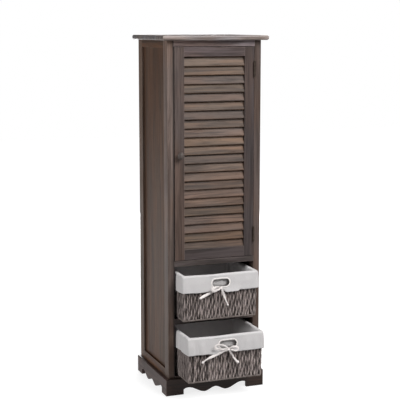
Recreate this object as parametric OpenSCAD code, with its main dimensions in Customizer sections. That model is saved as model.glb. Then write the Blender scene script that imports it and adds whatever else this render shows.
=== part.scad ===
// Bathroom storage tower: a louvred cupboard above two open bays, each with a lined basket.
// Millimetres. X runs across the front, +Y goes back, Z up. The floor is Z = 0.

/* [Tower] */
// Overall height
tower_h = 1180; // [1130:10:1300]
// Width across the posts
body_w = 324; // [300:2:380]
// Depth from the front of the posts to the back
body_d = 295; // [285:5:340]

/* [Top panel] */
// Thickness of the top panel
top_t = 15; // [13:1:20]
// How far it stands out at the front and at the sides
top_overhang = 20; // [14:1:30]
// How far it stands out at the back
top_back = 5; // [0:1:10]
// Radius of the large round under its edge
top_cove_r = 6; // [3:0.5:8]
// Radius of the small round on its upper edge
top_nose_r = 3; // [1:0.5:4]
// Width of the step beside the small round
top_step = 1.5; // [0.5:0.5:3]

/* [Posts and rails] */
// Width of each post, seen from the front
post_w = 22; // [20:1:30]
// Depth of the front posts
front_post_d = 36; // [32:1:45]
// Depth of the rear posts
rear_post_d = 38; // [32:1:45]
// Thickness of the rails
rail_t = 18; // [15:1:20]
// Height of the rail above the door
front_rail_h = 19; // [16:1:30]
// Height of the upper side rails and the upper back rail
side_rail_h = 24; // [20:1:40]
// How far the lower side rails rise above the bottom board
low_rail_show = 20; // [10:1:40]
// How far they reach down behind the base moulding
low_rail_lap = 20; // [12:1:30]

/* [Panels and boards] */
// Thickness of the side panels
side_panel_t = 6; // [4:0.5:8]
// How far the side panels are set back from the frame
side_recess = 7; // [4:0.5:8]
// Depth of the grooves and rebates that hold the panels
groove_d = 8; // [5:0.5:10]
// Thickness of the back panel
back_t = 4; // [3:0.5:8]
// Thickness of the fixed boards
board_t = 18; // [15:1:22]
// Thickness of the loose shelves in the cupboard
shelf_t = 15; // [12:1:20]
// How far the bottom board rises above the base moulding
base_show = 7; // [2:1:15]
// Height of each open bay
bay_h = 176; // [150:1:240]
// Gap round a panel in its groove
panel_gap = 0.3; // [0.2:0.1:0.6]

/* [Base moulding] */
// Thickness of the base moulding
plinth_t = 12; // [9:1:18]
// Height of the base moulding
plinth_h = 55; // [45:1:90]
// Width of the small bevel along its upper edge
plinth_bevel = 1.5; // [0.5:0.5:3]
// Length of a foot along the front
front_foot = 61; // [40:1:80]
// Length of a foot along the side
side_foot = 47; // [35:1:70]
// Height of the upright edge of a foot
foot_rise = 15; // [8:1:18]
// Height of the highest point of the cut-out
arch_rise = 22; // [20:1:30]
// Length of the curve from the foot up to that point
arch_run = 17; // [10:1:25]
// Distance between the two hanging lobes
lobe_gap = 76; // [60:1:90]
// Clearance under the lobes
lobe_rise = 2.5; // [1:0.5:6]
// Height of the small peak between the lobes
peak_rise = 15.5; // [10:0.5:19]

/* [Door] */
// Gap above and below the door
door_gap = 2; // [1:0.5:4]
// Gap on the knob's side
latch_gap = 2.5; // [1.5:0.5:4]
// Gap on the hinges' side
hinge_gap = 1.5; // [1:0.5:2]
// Thickness of the door
door_t = 18; // [18:0.5:22]
// Width of the door's stiles
stile_w = 33; // [28:1:45]
// Height of the door's upper rail
door_rail_top_h = 30; // [25:1:50]
// Height of the door's lower rail
door_rail_low_h = 34; // [25:1:60]
// Length of the tenons on the door's rails
tenon_l = 20; // [10:1:24]
// Thickness of those tenons
tenon_t = 6; // [4:0.5:6]
// How far each tenon is cut back from the rail's edges
tenon_shoulder = 5; // [3:0.5:8]

/* [Slats] */
// Spacing of the slats, before it is fitted to the opening
slat_step = 28.5; // [24:0.5:32]
// Width of a slat
slat_w = 37; // [34:0.5:38]
// Thickness of a slat
slat_t = 5; // [4:0.5:5.5]
// Lean of the slats from upright, in degrees
slat_lean = 17.5; // [15:0.5:19]
// How far the slats stay behind the door's front
slat_back = 1.5; // [0.5:0.5:2]
// How far the slats go into the stiles
slat_seat = 8; // [4:0.5:10]

/* [Knob and catch] */
// Diameter of the knob
knob_d = 24; // [20:1:32]
// How far the knob stands out
knob_out = 22; // [18:1:30]
// Diameter of the knob's foot
knob_foot_d = 12; // [10:1:16]
// Diameter of the knob's screw
knob_screw_d = 4; // [3:0.5:5]
// Diameter of that screw's head
knob_head_d = 8; // [7:0.5:9]
// Height of that screw's head
knob_head_h = 2.4; // [2:0.2:3]
// Thickness of the steel plate that the magnet holds
strike_t = 1.5; // [1:0.5:2]
// Height of that plate
strike_h = 24; // [16:1:30]
// Width of the catch and of the plate
catch_w = 12; // [10:1:14]
// Height of the catch
catch_h = 44; // [34:1:60]
// Depth of the catch
catch_d = 14; // [12:1:16]
// Gap between the magnet and its plate
catch_gap = 0.3; // [0.2:0.1:0.8]

/* [Hinges] */
// Height of each hinge
hinge_h = 50; // [40:1:70]
// Distance from the door's end to the middle of a hinge
hinge_in = 72; // [60:1:120]
// Thickness of a leaf
leaf_t = 1.2; // [1:0.1:1.5]
// Width of a leaf
leaf_w = 16; // [13:0.5:17]
// Diameter of the knuckles
barrel_d = 6; // [5.5:0.5:8]
// Diameter of the hinge pin
pin_d = 3; // [2:0.5:3.5]
// Diameter of the hinge screws
screw_d = 3; // [2:0.5:3.5]
// Diameter of the hinge screws' heads
screw_head_d = 5.2; // [5:0.2:6]
// Length of the hinge screws
screw_l = 13; // [8:1:14]
// Distance between two screws of a leaf
screw_step = 16; // [12:1:18]

/* [Shelf pins and dowels] */
// Diameter of the shelf pins
shelf_pin_d = 5; // [4:0.5:7]
// How far a shelf pin stands out
shelf_pin_out = 7; // [6:0.5:10]
// How deep a shelf pin sits in its post
shelf_pin_in = 7; // [5:0.5:8]
// Diameter of the dowels
dowel_d = 8; // [6:1:8]
// Length of the dowels
dowel_l = 28; // [20:1:28]

/* [Baskets] */
// How far the upper basket is drawn out
upper_pull = 64; // [0:1:120]
// How far the lower basket is drawn out
lower_pull = 112; // [0:1:120]
// Gap between a basket and each post
basket_side_gap = 6; // [4:1:12]
// Gap between a basket and the board above
basket_top_gap = 19; // [10:1:40]
// Room behind a basket that is pushed in flush
basket_back_room = 41; // [20:1:60]
// Thickness of the woven wall
wall_t = 6; // [4:0.5:8]
// Corner radius of the woven wall, seen from above
basket_r = 8; // [6:1:24]
// Radius of the woven wall's lower edge
basket_edge_r = 12; // [11:1:16]
// How far the woven front leans back towards its foot
basket_lean = 6; // [0:0.5:10]
// Diameter of the wires that carry the weave
wire_d = 3; // [2:0.5:4]
// Thickness of the liner inside
liner_t = 1.5; // [1:0.5:2]
// Thickness of the turned-down cuff
cuff_t = 2.7; // [2:0.1:4]
// Height of the cuff
cuff_h = 59; // [50:1:75]
// Thickness of the cloth over the rim
rim_t = 3.7; // [2:0.1:5]
// Width of the handle hole
handle_w = 62; // [50:1:90]
// Height of the handle hole
handle_h = 27; // [18:1:32]
// Distance from the rim down to the middle of the handle hole
handle_drop = 31; // [26:1:36]
// Gap between loose or soft pieces
soft_gap = 0.3; // [0.2:0.1:0.5]

/* [Ties] */
// Diameter of the tie cord
tie_d = 4; // [3:0.5:4.5]
// Diameter of the knot
knot_d = 11; // [10:0.5:13]
// Distance from the middle of the handle hole down to the middle of the knot
knot_drop = 17; // [14:1:26]

/* [Hidden] */
$fn = 48;
fit = 0.1;         // clearance of a wooden or pressed joint
running = 0.05;    // clearance of a pin that turns in its bore
over = 1;          // how far a cut runs past a face
inf = 600;         // longer than any cut that has to run right through
sides = 8;         // flats round a tie cord

// Heights
top_z = tower_h - top_t;
base_top = plinth_h + base_show;
shelf_z = base_top + bay_h;
sill_z = shelf_z + board_t + bay_h;
floor_z = sill_z + board_t;
door_z0 = floor_z + door_gap;
door_z1 = top_z - front_rail_h - door_gap;
side_z0 = base_top + low_rail_show;
side_z1 = top_z - side_rail_h;
low_rail_z = plinth_h - low_rail_lap;

// Widths, from the middle outwards
half_w = body_w / 2;
half_in = half_w - post_w;
panel_out = half_w - side_recess;
panel_in = panel_out - side_panel_t;
rail_in = half_w - rail_t;
board_half = panel_in - panel_gap;

// Depths
rear_post_y = body_d - rear_post_d;
back_y = body_d - back_t;
origin_y = (body_d + top_back - lower_pull) / 2;

// Door
door_x0 = -half_in + latch_gap;
door_x1 = half_in - hinge_gap;
slats_x0 = door_x0 + stile_w;
slats_x1 = door_x1 - stile_w;
slats_z0 = door_z0 + door_rail_low_h;
slats_z1 = door_z1 - door_rail_top_h;
slat_n = round((slats_z1 - slats_z0) / slat_step);
slat_pitch = (slats_z1 - slats_z0) / slat_n;
slat_run = (slat_w - slat_t) * sin(slat_lean) + slat_t;
knob_x = door_x0 + stile_w / 2;
knob_z = (door_z0 + door_z1) / 2;
knob_neck = 8;     // where the knob's head begins
knob_bore = 12;    // depth of the screw hole in the knob
strike_w = stile_w / 2 - knob_head_d / 2 - 2 * soft_gap;
catch_y = door_t + strike_t + catch_gap;
magnet_out = 1.5;  // how far the magnet stands out of its case
magnet_w = 8;
magnet_h = 20;
magnet_d = 9;

// Hinges
mortise = (2 * leaf_t + 2 * soft_gap - hinge_gap) / 2;
pin_x = half_in - hinge_gap / 2;
pin_y = -barrel_d / 2 - 2 * soft_gap;
frame_leaf_x = half_in + mortise - leaf_t;
door_leaf_x = door_x1 - mortise;
knuckles = 5;
knuckle_h = hinge_h / knuckles;
pin_head_h = 1.2;
hinge_low_z = door_z0 + hinge_in;
hinge_high_z = door_z1 - hinge_in;
screw_y = leaf_w / 2 + 0.5;

// Shelves and dowels
shelf_half = half_in - 1;
shelf_y0 = catch_y + 4;
shelf_y1 = back_y - 1;
cupboard_h = top_z - front_rail_h - floor_z;
shelf_low_z = floor_z + cupboard_h / 3;
shelf_high_z = floor_z + cupboard_h * 2 / 3;
shelf_pin_y = [front_post_d - 6, rear_post_y + 7];
front_dowel_y = 10;
rear_dowel_y = back_y - rail_t / 2;

// Baskets, each from its own corner: y = 0 at the front of the cuff, z = 0 under it
basket_h = bay_h - basket_top_gap;
basket_d = back_y - basket_back_room;
cuff_half = half_in - basket_side_gap;
weave_in = cuff_t + soft_gap;
weave_half = cuff_half - weave_in;
weave_h = basket_h - rim_t - soft_gap;
wire_in = wall_t + soft_gap + wire_d / 2;
bag_in = wall_t + wire_d + 2 * soft_gap;
bag_r = basket_r + 2 * basket_lean;
handle_z = basket_h - handle_drop;
knot_z = handle_z - knot_drop;
upright_d = wire_d * 2 / 3;
upright_share = 0.5;   // the inner uprights stand halfway to the outer ones
wire_bend = max(basket_r - wire_in, wire_d / 2 + soft_gap);   // bend of a ring at its corners

// Colours
frame_wood = [0.56, 0.49, 0.43];
edge_wood = [0.63, 0.57, 0.51];
panel_wood = [0.45, 0.38, 0.33];
slat_wood = [0.62, 0.54, 0.46];
inner_wood = [0.50, 0.43, 0.37];
metal = [0.55, 0.54, 0.52];
rope = [0.60, 0.55, 0.49];
linen = [0.88, 0.86, 0.82];
tie_cloth = [0.92, 0.89, 0.82];

// ---- Helpers ----

// The finished piece, moved so that the origin is under the middle of the whole
module placed(c) {
    color(c) translate([0, -origin_y, 0]) children();
}

// A block between two corners
module block(x0, x1, y0, y1, z0, z1) {
    translate([x0, y0, z0]) cube([x1 - x0, y1 - y0, z1 - z0]);
}

// Pieces are drawn for the right-hand side; s = -1 gives the left-hand one
module on_side(s) {
    if (s > 0) children();
    else mirror([1, 0, 0]) children();
}

// Lies along +X, from x = 0
module rod_x(d, l) {
    rotate([0, 90, 0]) cylinder(d = d, h = l);
}

// Lies along +Y, from y = 0
module rod_y(d, l) {
    rotate([-90, 0, 0]) cylinder(d = d, h = l);
}

// Points on an arc about c, from angle a0 to a1, in n steps
function arc(c, r, a0, a1, n = 8) =
    [for (i = [0 : n]) let (a = a0 + (a1 - a0) * i / n) c + r * [cos(a), sin(a)]];

// ---- Dowels: one list of places serves the dowels and all their holes ----

cross_dowels = [
    for (z = [base_top - board_t / 2, shelf_z + board_t / 2, sill_z + board_t / 2])
        for (y = [front_dowel_y, rear_dowel_y]) [y, z],
    [front_dowel_y - 1, top_z - front_rail_h / 2],
    [rear_dowel_y, top_z - side_rail_h / 2],
    [rear_dowel_y, base_top - board_t * 1.5]
];
long_dowels = [
    for (y = [front_post_d, rear_post_y])
        for (z = [top_z - side_rail_h / 3, (low_rail_z + base_top) / 2 + 6]) [y, z]
];

module dowel_set(play) {
    d = dowel_d + 2 * play;
    l = dowel_l + 4 * play;
    for (s = [-1, 1]) on_side(s) {
        for (p = cross_dowels) translate([half_in - l / 2, p[0], p[1]]) rod_x(d, l);
        for (p = long_dowels) translate([rail_in + rail_t / 2, p[0] - l / 2, p[1]]) rod_y(d, l);
    }
}

// ---- Carcass ----

// The edge of the top panel, seen from the end: a large round below, a step and a small round above
function edge_profile(a, b) = concat(
    arc([a + top_cove_r, top_cove_r], top_cove_r, 270, 180),
    [[a, top_t - top_nose_r], [a + top_step, top_t - top_nose_r]],
    arc([a + top_step + top_nose_r, top_t - top_nose_r], top_nose_r, 180, 90),
    b
);

module top_panel() {
    placed(edge_wood) translate([0, 0, top_z]) {
        half = half_w + top_overhang;
        front = -top_overhang;
        rear = body_d + top_back;
        left = edge_profile(-half, []);
        intersection() {
            rotate([90, 0, 90]) translate([0, 0, -half])
                linear_extrude(2 * half) polygon(edge_profile(front, [[rear, top_t], [rear, 0]]));
            translate([0, rear, 0]) rotate([90, 0, 0]) linear_extrude(rear - front)
                polygon(concat(left, [for (i = [len(left) - 1 : -1 : 0]) [-left[i][0], left[i][1]]]));
        }
    }
}

// The groove that holds a side panel, cut into posts and rails
module panel_groove() {
    g = panel_gap / 2;
    block(panel_in - g, panel_out + g, front_post_d - groove_d, rear_post_y + groove_d,
        side_z0 - groove_d, side_z1 + groove_d);
}

module side_panel(s) {
    e = groove_d - panel_gap;
    placed(panel_wood) on_side(s)
        block(panel_in, panel_out, front_post_d - e, rear_post_y + e, side_z0 - e, side_z1 + e);
}

module shelf_pin_set(play) {
    d = shelf_pin_d + 2 * play;
    for (s = [-1, 1]) on_side(s)
        for (z = [shelf_low_z, shelf_high_z])
            for (y = shelf_pin_y)
                translate([half_in - shelf_pin_out, y, z - shelf_t - shelf_pin_d / 2 - running])
                    rod_x(d, shelf_pin_out + shelf_pin_in + 2 * play);
}

module post_front(s) {
    placed(frame_wood) difference() {
        on_side(s) difference() {
            block(half_in, half_w, 0, front_post_d, 0, top_z);
            panel_groove();
        }
        dowel_set(fit);
        shelf_pin_set(fit);
        if (s > 0) {
            hinge_cut(half_in - over, half_in + mortise);
            frame_screws(fit);
        }
    }
}

module post_rear(s) {
    placed(frame_wood) difference() {
        on_side(s) difference() {
            block(half_in, half_w, rear_post_y, body_d, 0, top_z);
            panel_groove();
            block(half_in - over, half_in + groove_d, back_y, body_d + over,
                base_top - board_t, top_z + over);
        }
        dowel_set(fit);
        shelf_pin_set(fit);
    }
}

module back_panel() {
    e = groove_d - panel_gap;
    placed(panel_wood) block(-half_in - e, half_in + e, back_y, body_d,
        base_top - board_t + panel_gap, top_z - panel_gap);
}

module front_top_rail() {
    placed(edge_wood) difference() {
        block(-half_in, half_in, 0, rail_t, top_z - front_rail_h, top_z);
        dowel_set(fit);
    }
}

module door_sill_rail() {
    placed(edge_wood) difference() {
        block(-half_in, half_in, 0, front_post_d, sill_z, floor_z);
        dowel_set(fit);
    }
}

module rear_top_rail() {
    placed(inner_wood) difference() {
        block(-half_in, half_in, back_y - rail_t, back_y, top_z - side_rail_h, top_z);
        dowel_set(fit);
    }
}

module rear_bottom_rail() {
    placed(inner_wood) difference() {
        block(-half_in, half_in, back_y - rail_t, back_y, base_top - 2 * board_t, base_top - board_t);
        dowel_set(fit);
    }
}

module side_rail(s, z0, z1) {
    placed(frame_wood) difference() {
        on_side(s) difference() {
            block(rail_in, half_w, front_post_d, rear_post_y, z0, z1);
            panel_groove();
        }
        dowel_set(fit);
    }
}

// A fixed board: half as wide as w between the posts' depths, and narrower between the posts
module fixed_board(w, y0, z) {
    difference() {
        union() {
            block(-half_in, half_in, y0, back_y, z, z + board_t);
            block(-w, w, front_post_d, rear_post_y, z, z + board_t);
        }
        dowel_set(fit);
    }
}

module cupboard_floor() {
    placed(inner_wood) fixed_board(board_half, front_post_d, sill_z);
}

module basket_shelf() {
    placed(edge_wood) fixed_board(board_half, 0, shelf_z);
}

module base_panel() {
    placed(edge_wood) fixed_board(rail_in, 0, base_top - board_t);
}

module inner_shelf(z) {
    placed(inner_wood) block(-shelf_half, shelf_half, shelf_y0, shelf_y1, z - shelf_t, z);
}

module shelf_pins() {
    placed(metal) shelf_pin_set(0);
}

module dowels() {
    placed(slat_wood) dowel_set(0);
}

// ---- Base moulding ----

// Height of the cut-out at a distance x from the board's middle, for a foot that ends at x = foot_x:
// a quarter ellipse beside the foot, a cosine wave down to the lobe, and another up to the small peak
function cut_z(x, foot_x) = let (top_x = foot_x - arch_run, lobe_x = lobe_gap / 2)
    x > top_x ? foot_rise + (arch_rise - foot_rise) * sqrt(1 - pow((x - top_x) / arch_run, 2))
    : x > lobe_x ? lobe_rise + (arch_rise - lobe_rise) * (1 - cos(180 * (x - lobe_x) / (top_x - lobe_x))) / 2
    : lobe_rise + (peak_rise - lobe_rise) * pow(1 - x / lobe_x, 2) * (1 + 2 * x / lobe_x);

// The board seen from its face, l long, with the cut-out between its two feet
module scalloped(l, foot) {
    foot_x = l / 2 - foot;
    n = 12;
    top_x = foot_x - arch_run;
    lobe_x = lobe_gap / 2;
    xs = concat(
        [for (i = [0 : n]) lobe_x * i / n],
        [for (i = [1 : n]) lobe_x + (top_x - lobe_x) * i / n],
        [for (i = [1 : n - 4]) top_x + arch_run * sin(90 * i / (n - 4))]
    );
    cut = [for (x = xs) [x, cut_z(x, foot_x)]];
    k = len(cut);
    difference() {
        translate([-l / 2, 0]) square([l, plinth_h]);
        polygon(concat(
            [[-foot_x, -over]],
            [for (i = [k - 1 : -1 : 1]) [-cut[i][0], cut[i][1]]],
            cut,
            [[foot_x, -over]]
        ));
    }
}

// The section of a board that stands plinth_t proud, with the bevel on its upper edge
function plinth_section() = [[0, 0], [plinth_t, 0], [plinth_t, plinth_h - plinth_bevel],
    [plinth_t - plinth_bevel, plinth_h], [0, plinth_h]];

module plinth_front() {
    half = half_w + plinth_t;
    placed(frame_wood) intersection() {
        rotate([90, 0, 0]) linear_extrude(plinth_t) scalloped(2 * half, front_foot);
        rotate([90, 0, -90]) translate([0, 0, -half]) linear_extrude(2 * half) polygon(plinth_section());
        linear_extrude(plinth_h)
            polygon([[-half, -plinth_t], [half, -plinth_t], [half_w, 0], [-half_w, 0]]);
    }
}

module plinth_side(s) {
    l = body_d + plinth_t;
    placed(frame_wood) on_side(s) intersection() {
        translate([half_w, body_d - l / 2, 0]) rotate([90, 0, 90])
            linear_extrude(plinth_t) scalloped(l, side_foot);
        translate([half_w, body_d, 0]) rotate([90, 0, 0]) linear_extrude(l) polygon(plinth_section());
        linear_extrude(plinth_h) polygon([[half_w, 0], [half_w + plinth_t, -plinth_t],
            [half_w + plinth_t, body_d], [half_w, body_d]]);
    }
}

// ---- Door ----

// All the slats; play widens them, and makes them longer, for their slots
module slat_set(play) {
    l = slats_x1 - slats_x0 + 2 * slat_seat + 4 * play;
    half = (slat_w - slat_t) / 2;
    r = slat_t / 2 + play;
    for (i = [0 : slat_n - 1])
        translate([slats_x0 - slat_seat - 2 * play, slat_back + slat_run / 2,
            slats_z0 + slat_pitch * (i + 0.5)])
            rotate([-slat_lean, 0, 0]) rotate([90, 0, 90]) linear_extrude(l) union() {
                translate([-r, -half]) square([2 * r, 2 * half]);
                for (e = [-half, half]) translate([0, e]) circle(r);
            }
}

// The two tenons of a door rail between the heights z0 and z1
module tenons(z0, z1, play) {
    y = (door_t - tenon_t) / 2 - play;
    block(slats_x0 - tenon_l - 2 * play, slats_x1 + tenon_l + 2 * play, y, door_t - y,
        z0 + tenon_shoulder - play, z1 - tenon_shoulder + play);
}

module stile(x0) {
    difference() {
        block(x0, x0 + stile_w, 0, door_t, door_z0, door_z1);
        slat_set(fit);
        tenons(door_z0, slats_z0, fit);
        tenons(slats_z1, door_z1, fit);
    }
}

module door_rail(z0, z1) {
    placed(frame_wood) difference() {
        union() {
            block(slats_x0, slats_x1, 0, door_t, z0, z1);
            tenons(z0, z1, 0);
        }
        slat_set(fit);
    }
}

module door_stile_hinge() {
    placed(frame_wood) difference() {
        stile(slats_x1);
        hinge_cut(door_x1 - mortise, door_x1 + over);
        door_screws(fit);
    }
}

module door_stile_latch() {
    placed(frame_wood) difference() {
        stile(door_x0);
        translate([knob_x, -over, knob_z]) rod_y(knob_screw_d + 2 * fit, door_t + 2 * over);
    }
}

module door_slats() {
    placed(slat_wood) slat_set(0);
}

// A turned knob: a short neck, a rounded shoulder and a domed front
module knob() {
    r = knob_d / 2;
    neck_r = knob_foot_d / 2;
    wide = knob_neck + (knob_out - knob_neck) * 0.4;
    placed(frame_wood) translate([knob_x, 0, knob_z]) rotate([90, 0, 0]) difference() {
        rotate_extrude() polygon(concat(
            [[0, 0], [neck_r, 0], [neck_r - 1, knob_neck / 2]],
            [for (a = [0 : 10 : 90]) [neck_r + (r - neck_r) * sin(a), wide - (wide - knob_neck) * cos(a)]],
            [for (a = [10 : 10 : 90]) [r * cos(a), wide + (knob_out - wide) * sin(a)]]
        ));
        translate([0, 0, -over]) cylinder(d = knob_screw_d + 2 * running, h = knob_bore + over);
    }
}

module knob_screw() {
    placed(metal) translate([knob_x, 0, knob_z]) {
        translate([0, -knob_bore + 1, 0]) rod_y(knob_screw_d, door_t + knob_bore - 1);
        translate([0, door_t, 0]) rod_y(knob_head_d, knob_head_h);
    }
}

module strike_plate() {
    placed(metal) block(door_x0 + soft_gap, door_x0 + strike_w, door_t, door_t + strike_t,
        knob_z - strike_h / 2, knob_z + strike_h / 2);
}

module magnet_block(play) {
    x = -half_in + catch_w / 2;
    block(x - magnet_w / 2 - play, x + magnet_w / 2 + play, catch_y - 2 * play,
        catch_y + magnet_d + play, knob_z - magnet_h / 2 - play, knob_z + magnet_h / 2 + play);
}

module catch_body() {
    placed(tie_cloth) difference() {
        block(-half_in, -half_in + catch_w, catch_y + magnet_out, catch_y + magnet_out + catch_d,
            knob_z - catch_h / 2, knob_z + catch_h / 2);
        magnet_block(fit);
    }
}

module catch_magnet() {
    placed(metal) magnet_block(0);
}

// ---- Hinges ----

// The shallow recess for the leaves, at both hinges
module hinge_cut(x0, x1) {
    for (z = [hinge_low_z, hinge_high_z])
        block(x0, x1, -over, leaf_w + fit, z - hinge_h / 2 - fit, z + hinge_h / 2 + fit);
}

// Countersunk screws in a leaf, along +X from the face of the leaf, at both hinges
module screw_row(play) {
    sink = leaf_t + play;
    for (z = [hinge_low_z, hinge_high_z])
        for (i = [-1 : 1])
            translate([0, screw_y, z + i * screw_step]) rotate([0, 90, 0]) {
                translate([0, 0, -play]) cylinder(d1 = screw_head_d + 2 * play, d2 = screw_d + 2 * play, h = sink);
                cylinder(d = screw_d + 2 * play, h = screw_l + play);
            }
}

module frame_screws(play) {
    translate([frame_leaf_x, 0, 0]) screw_row(play);
}

module door_screws(play) {
    translate([door_leaf_x + leaf_t, 0, 0]) mirror([1, 0, 0]) screw_row(play);
}

// One leaf with its own knuckles, at height z; first is 0 or 1, x is the leaf's thinner side
module leaf(x, z, first) {
    bore = pin_d + 2 * running;
    difference() {
        union() {
            block(x, x + leaf_t, soft_gap / 2, leaf_w, z - hinge_h / 2, z + hinge_h / 2);
            for (i = [first : 2 : knuckles - 1])
                translate([0, 0, z - hinge_h / 2 + i * knuckle_h + soft_gap / 2]) {
                    block(x, x + leaf_t, pin_y, soft_gap, 0, knuckle_h - soft_gap);
                    translate([pin_x, pin_y, 0]) cylinder(d = barrel_d, h = knuckle_h - soft_gap);
                }
        }
        translate([pin_x, pin_y, z - hinge_h]) cylinder(d = bore, h = 2 * hinge_h);
    }
}

module hinge_leaf_frame(z) {
    placed(metal) difference() {
        leaf(frame_leaf_x, z, 0);
        frame_screws(running);
    }
}

module hinge_leaf_door(z) {
    placed(metal) difference() {
        leaf(door_leaf_x, z, 1);
        door_screws(running);
    }
}

module hinge_pin(z) {
    placed(metal) translate([pin_x, pin_y, z - hinge_h / 2]) {
        translate([0, 0, -pin_head_h]) cylinder(d = pin_d, h = hinge_h + 2 * pin_head_h);
        for (e = [-pin_head_h, hinge_h]) translate([0, 0, e]) cylinder(d = barrel_d - 1, h = pin_head_h);
    }
}

module hinge_screws_frame() {
    placed(metal) frame_screws(0);
}

module hinge_screws_door() {
    placed(metal) door_screws(0);
}

// ---- Baskets ----

module rounded_square(half, y0, y1, r) {
    union() {
        translate([-half, y0 + r]) square([2 * half, y1 - y0 - 2 * r]);
        translate([-half + r, y0]) square([2 * half - 2 * r, y1 - y0]);
        for (x = [-half + r, half - r]) for (y = [y0 + r, y1 - r]) translate([x, y]) circle(r);
    }
}

// Where the woven front stands at height z
function front_at(z) = weave_in + basket_lean * (1 - z / weave_h);

// The basket's outer shape drawn in by t, as a block up to height h, with plan corners of radius corner_r - t
module basket_block(t, h, corner_r = basket_r) {
    half = weave_half - t;
    rear = basket_d - weave_in - t;
    r = max(1, basket_edge_r - t);
    intersection() {
        linear_extrude(h) rounded_square(half, weave_in + t, rear, max(1, corner_r - t));
        rotate([90, 0, 90]) translate([0, 0, -inf / 2]) linear_extrude(inf) polygon(concat(
            [[front_at(h) + t, h]],
            arc([front_at(t + r) + t + r, t + r], r, 180, 270),
            arc([rear - r, t + r], r, 270, 360),
            [[rear, h]]
        ));
        translate([0, inf, 0]) rotate([90, 0, 0]) linear_extrude(2 * inf) polygon(concat(
            [[-half, h]],
            arc([-half + r, t + r], r, 180, 270),
            arc([half - r, t + r], r, 270, 360),
            [[half, h]]
        ));
    }
}

// The stadium-shaped handle hole, drawn in by t, with its middle at hole_x; it is cut through the
// front of the weave and of the cuff, and not through the bag behind them
module handle_hole(t, hole_x) {
    h = handle_h - 2 * t;
    x = handle_w / 2 - handle_h / 2;
    deep = weave_in + basket_lean + wall_t + 2 * over;
    translate([hole_x, -over, handle_z]) {
        for (s = [-1, 1]) translate([s * x, 0, 0]) rod_y(h, deep);
        block(-x, x, 0, deep, -h / 2, h / 2);
    }
}

module woven_basket(hole_x) {
    color(rope) difference() {
        basket_block(0, weave_h);
        basket_block(wall_t, weave_h + over);
        handle_hole(0, hole_x);
    }
}

// A closed ring of wire at height z, with its front at y
module wire_ring(y, z) {
    half = weave_half - wire_in;
    rear = basket_d - weave_in - wire_in;
    r = wire_bend;
    translate([0, 0, z]) union() {
        for (e = [y, rear]) translate([-half + r, e, 0]) rod_x(wire_d, 2 * (half - r));
        for (s = [-1, 1]) translate([s * half, y + r, 0]) rod_y(wire_d, rear - y - 2 * r);
        for (c = [[half - r, rear - r, 0], [-half + r, rear - r, 90], [-half + r, y + r, 180],
            [half - r, y + r, 270]])
            translate([c[0], c[1], 0]) rotate([0, 0, c[2]])
                rotate_extrude(angle = 90) translate([r, 0]) circle(d = wire_d);
    }
}

// The hidden wire frame: a ring at the rim, one at the foot, and thinner uprights between them
module wire_frame() {
    half = weave_half - wire_in;
    rear = basket_d - weave_in - wire_in;
    foot_z = basket_edge_r + over;
    rise = weave_h - wire_d - foot_z;
    front = front_at(foot_z + rise) + wire_in;
    low_front = front_at(foot_z) + wire_in;
    lean = atan((low_front - front) / rise);
    color(metal) union() {
        wire_ring(front, foot_z + rise);
        wire_ring(low_front, foot_z);
        translate([0, 0, foot_z]) {
            for (x = [-1, -upright_share, upright_share, 1]) translate([x * (half - wire_bend - upright_d), 0, 0]) {
                translate([0, low_front, 0]) rotate([lean, 0, 0]) cylinder(d = upright_d, h = rise / cos(lean));
                translate([0, rear, 0]) cylinder(d = upright_d, h = rise);
            }
            for (s = [-1, 1]) for (k = [1 : 3])
                translate([s * half, low_front + k * (rear - low_front) / 4, 0])
                    cylinder(d = upright_d, h = rise);
        }
    }
}

// The liner: a bag inside, turned over the rim and down outside as the cuff. The bag's corners are
// rounder than the weave's, so that the leaning front leaves room for the wire at its foot
module liner(hole_x) {
    color(linen) difference() {
        union() {
            difference() {
                translate([0, 0, basket_h - cuff_h]) linear_extrude(cuff_h)
                    rounded_square(cuff_half, 0, basket_d, basket_r + weave_in);
                basket_block(-soft_gap, weave_h + soft_gap);
                handle_hole(liner_t, hole_x);
            }
            basket_block(bag_in, weave_h + 2 * over, bag_r);
        }
        basket_block(bag_in + liner_t, basket_h + over, bag_r);
    }
}

// ---- Ties ----

// Unit vector of v
function unit(v) = v / norm(v);

// Direction of a route at its point i
function heading(route, i) =
    unit(route[min(i + 1, len(route) - 1)] - route[max(i - 1, 0)]);

// A round cord along a route that never runs straight at the viewer, one ring to each point
module cord(route) {
    n = len(route);
    rings = [for (i = [0 : n - 1])
        let (t = heading(route, i), u = unit(cross([0, 1, 0], t)), v = cross(t, u))
            for (k = [0 : sides - 1])
                route[i] + tie_d / 2 * (cos(360 * k / sides) * u + sin(360 * k / sides) * v)];
    walls = [for (i = [0 : n - 2]) for (k = [0 : sides - 1])
        let (a = i * sides + k, b = i * sides + (k + 1) % sides) [b, a, a + sides, b + sides]];
    tris = [for (w = walls) each [[w[0], w[1], w[2]], [w[0], w[2], w[3]]]];
    caps = [
        for (k = [1 : sides - 2]) [0, k, k + 1],
        for (k = [1 : sides - 2]) [(n - 1) * sides, (n - 1) * sides + k + 1, (n - 1) * sides + k]
    ];
    polyhedron(points = rings, faces = concat(tris, caps));
}

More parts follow.
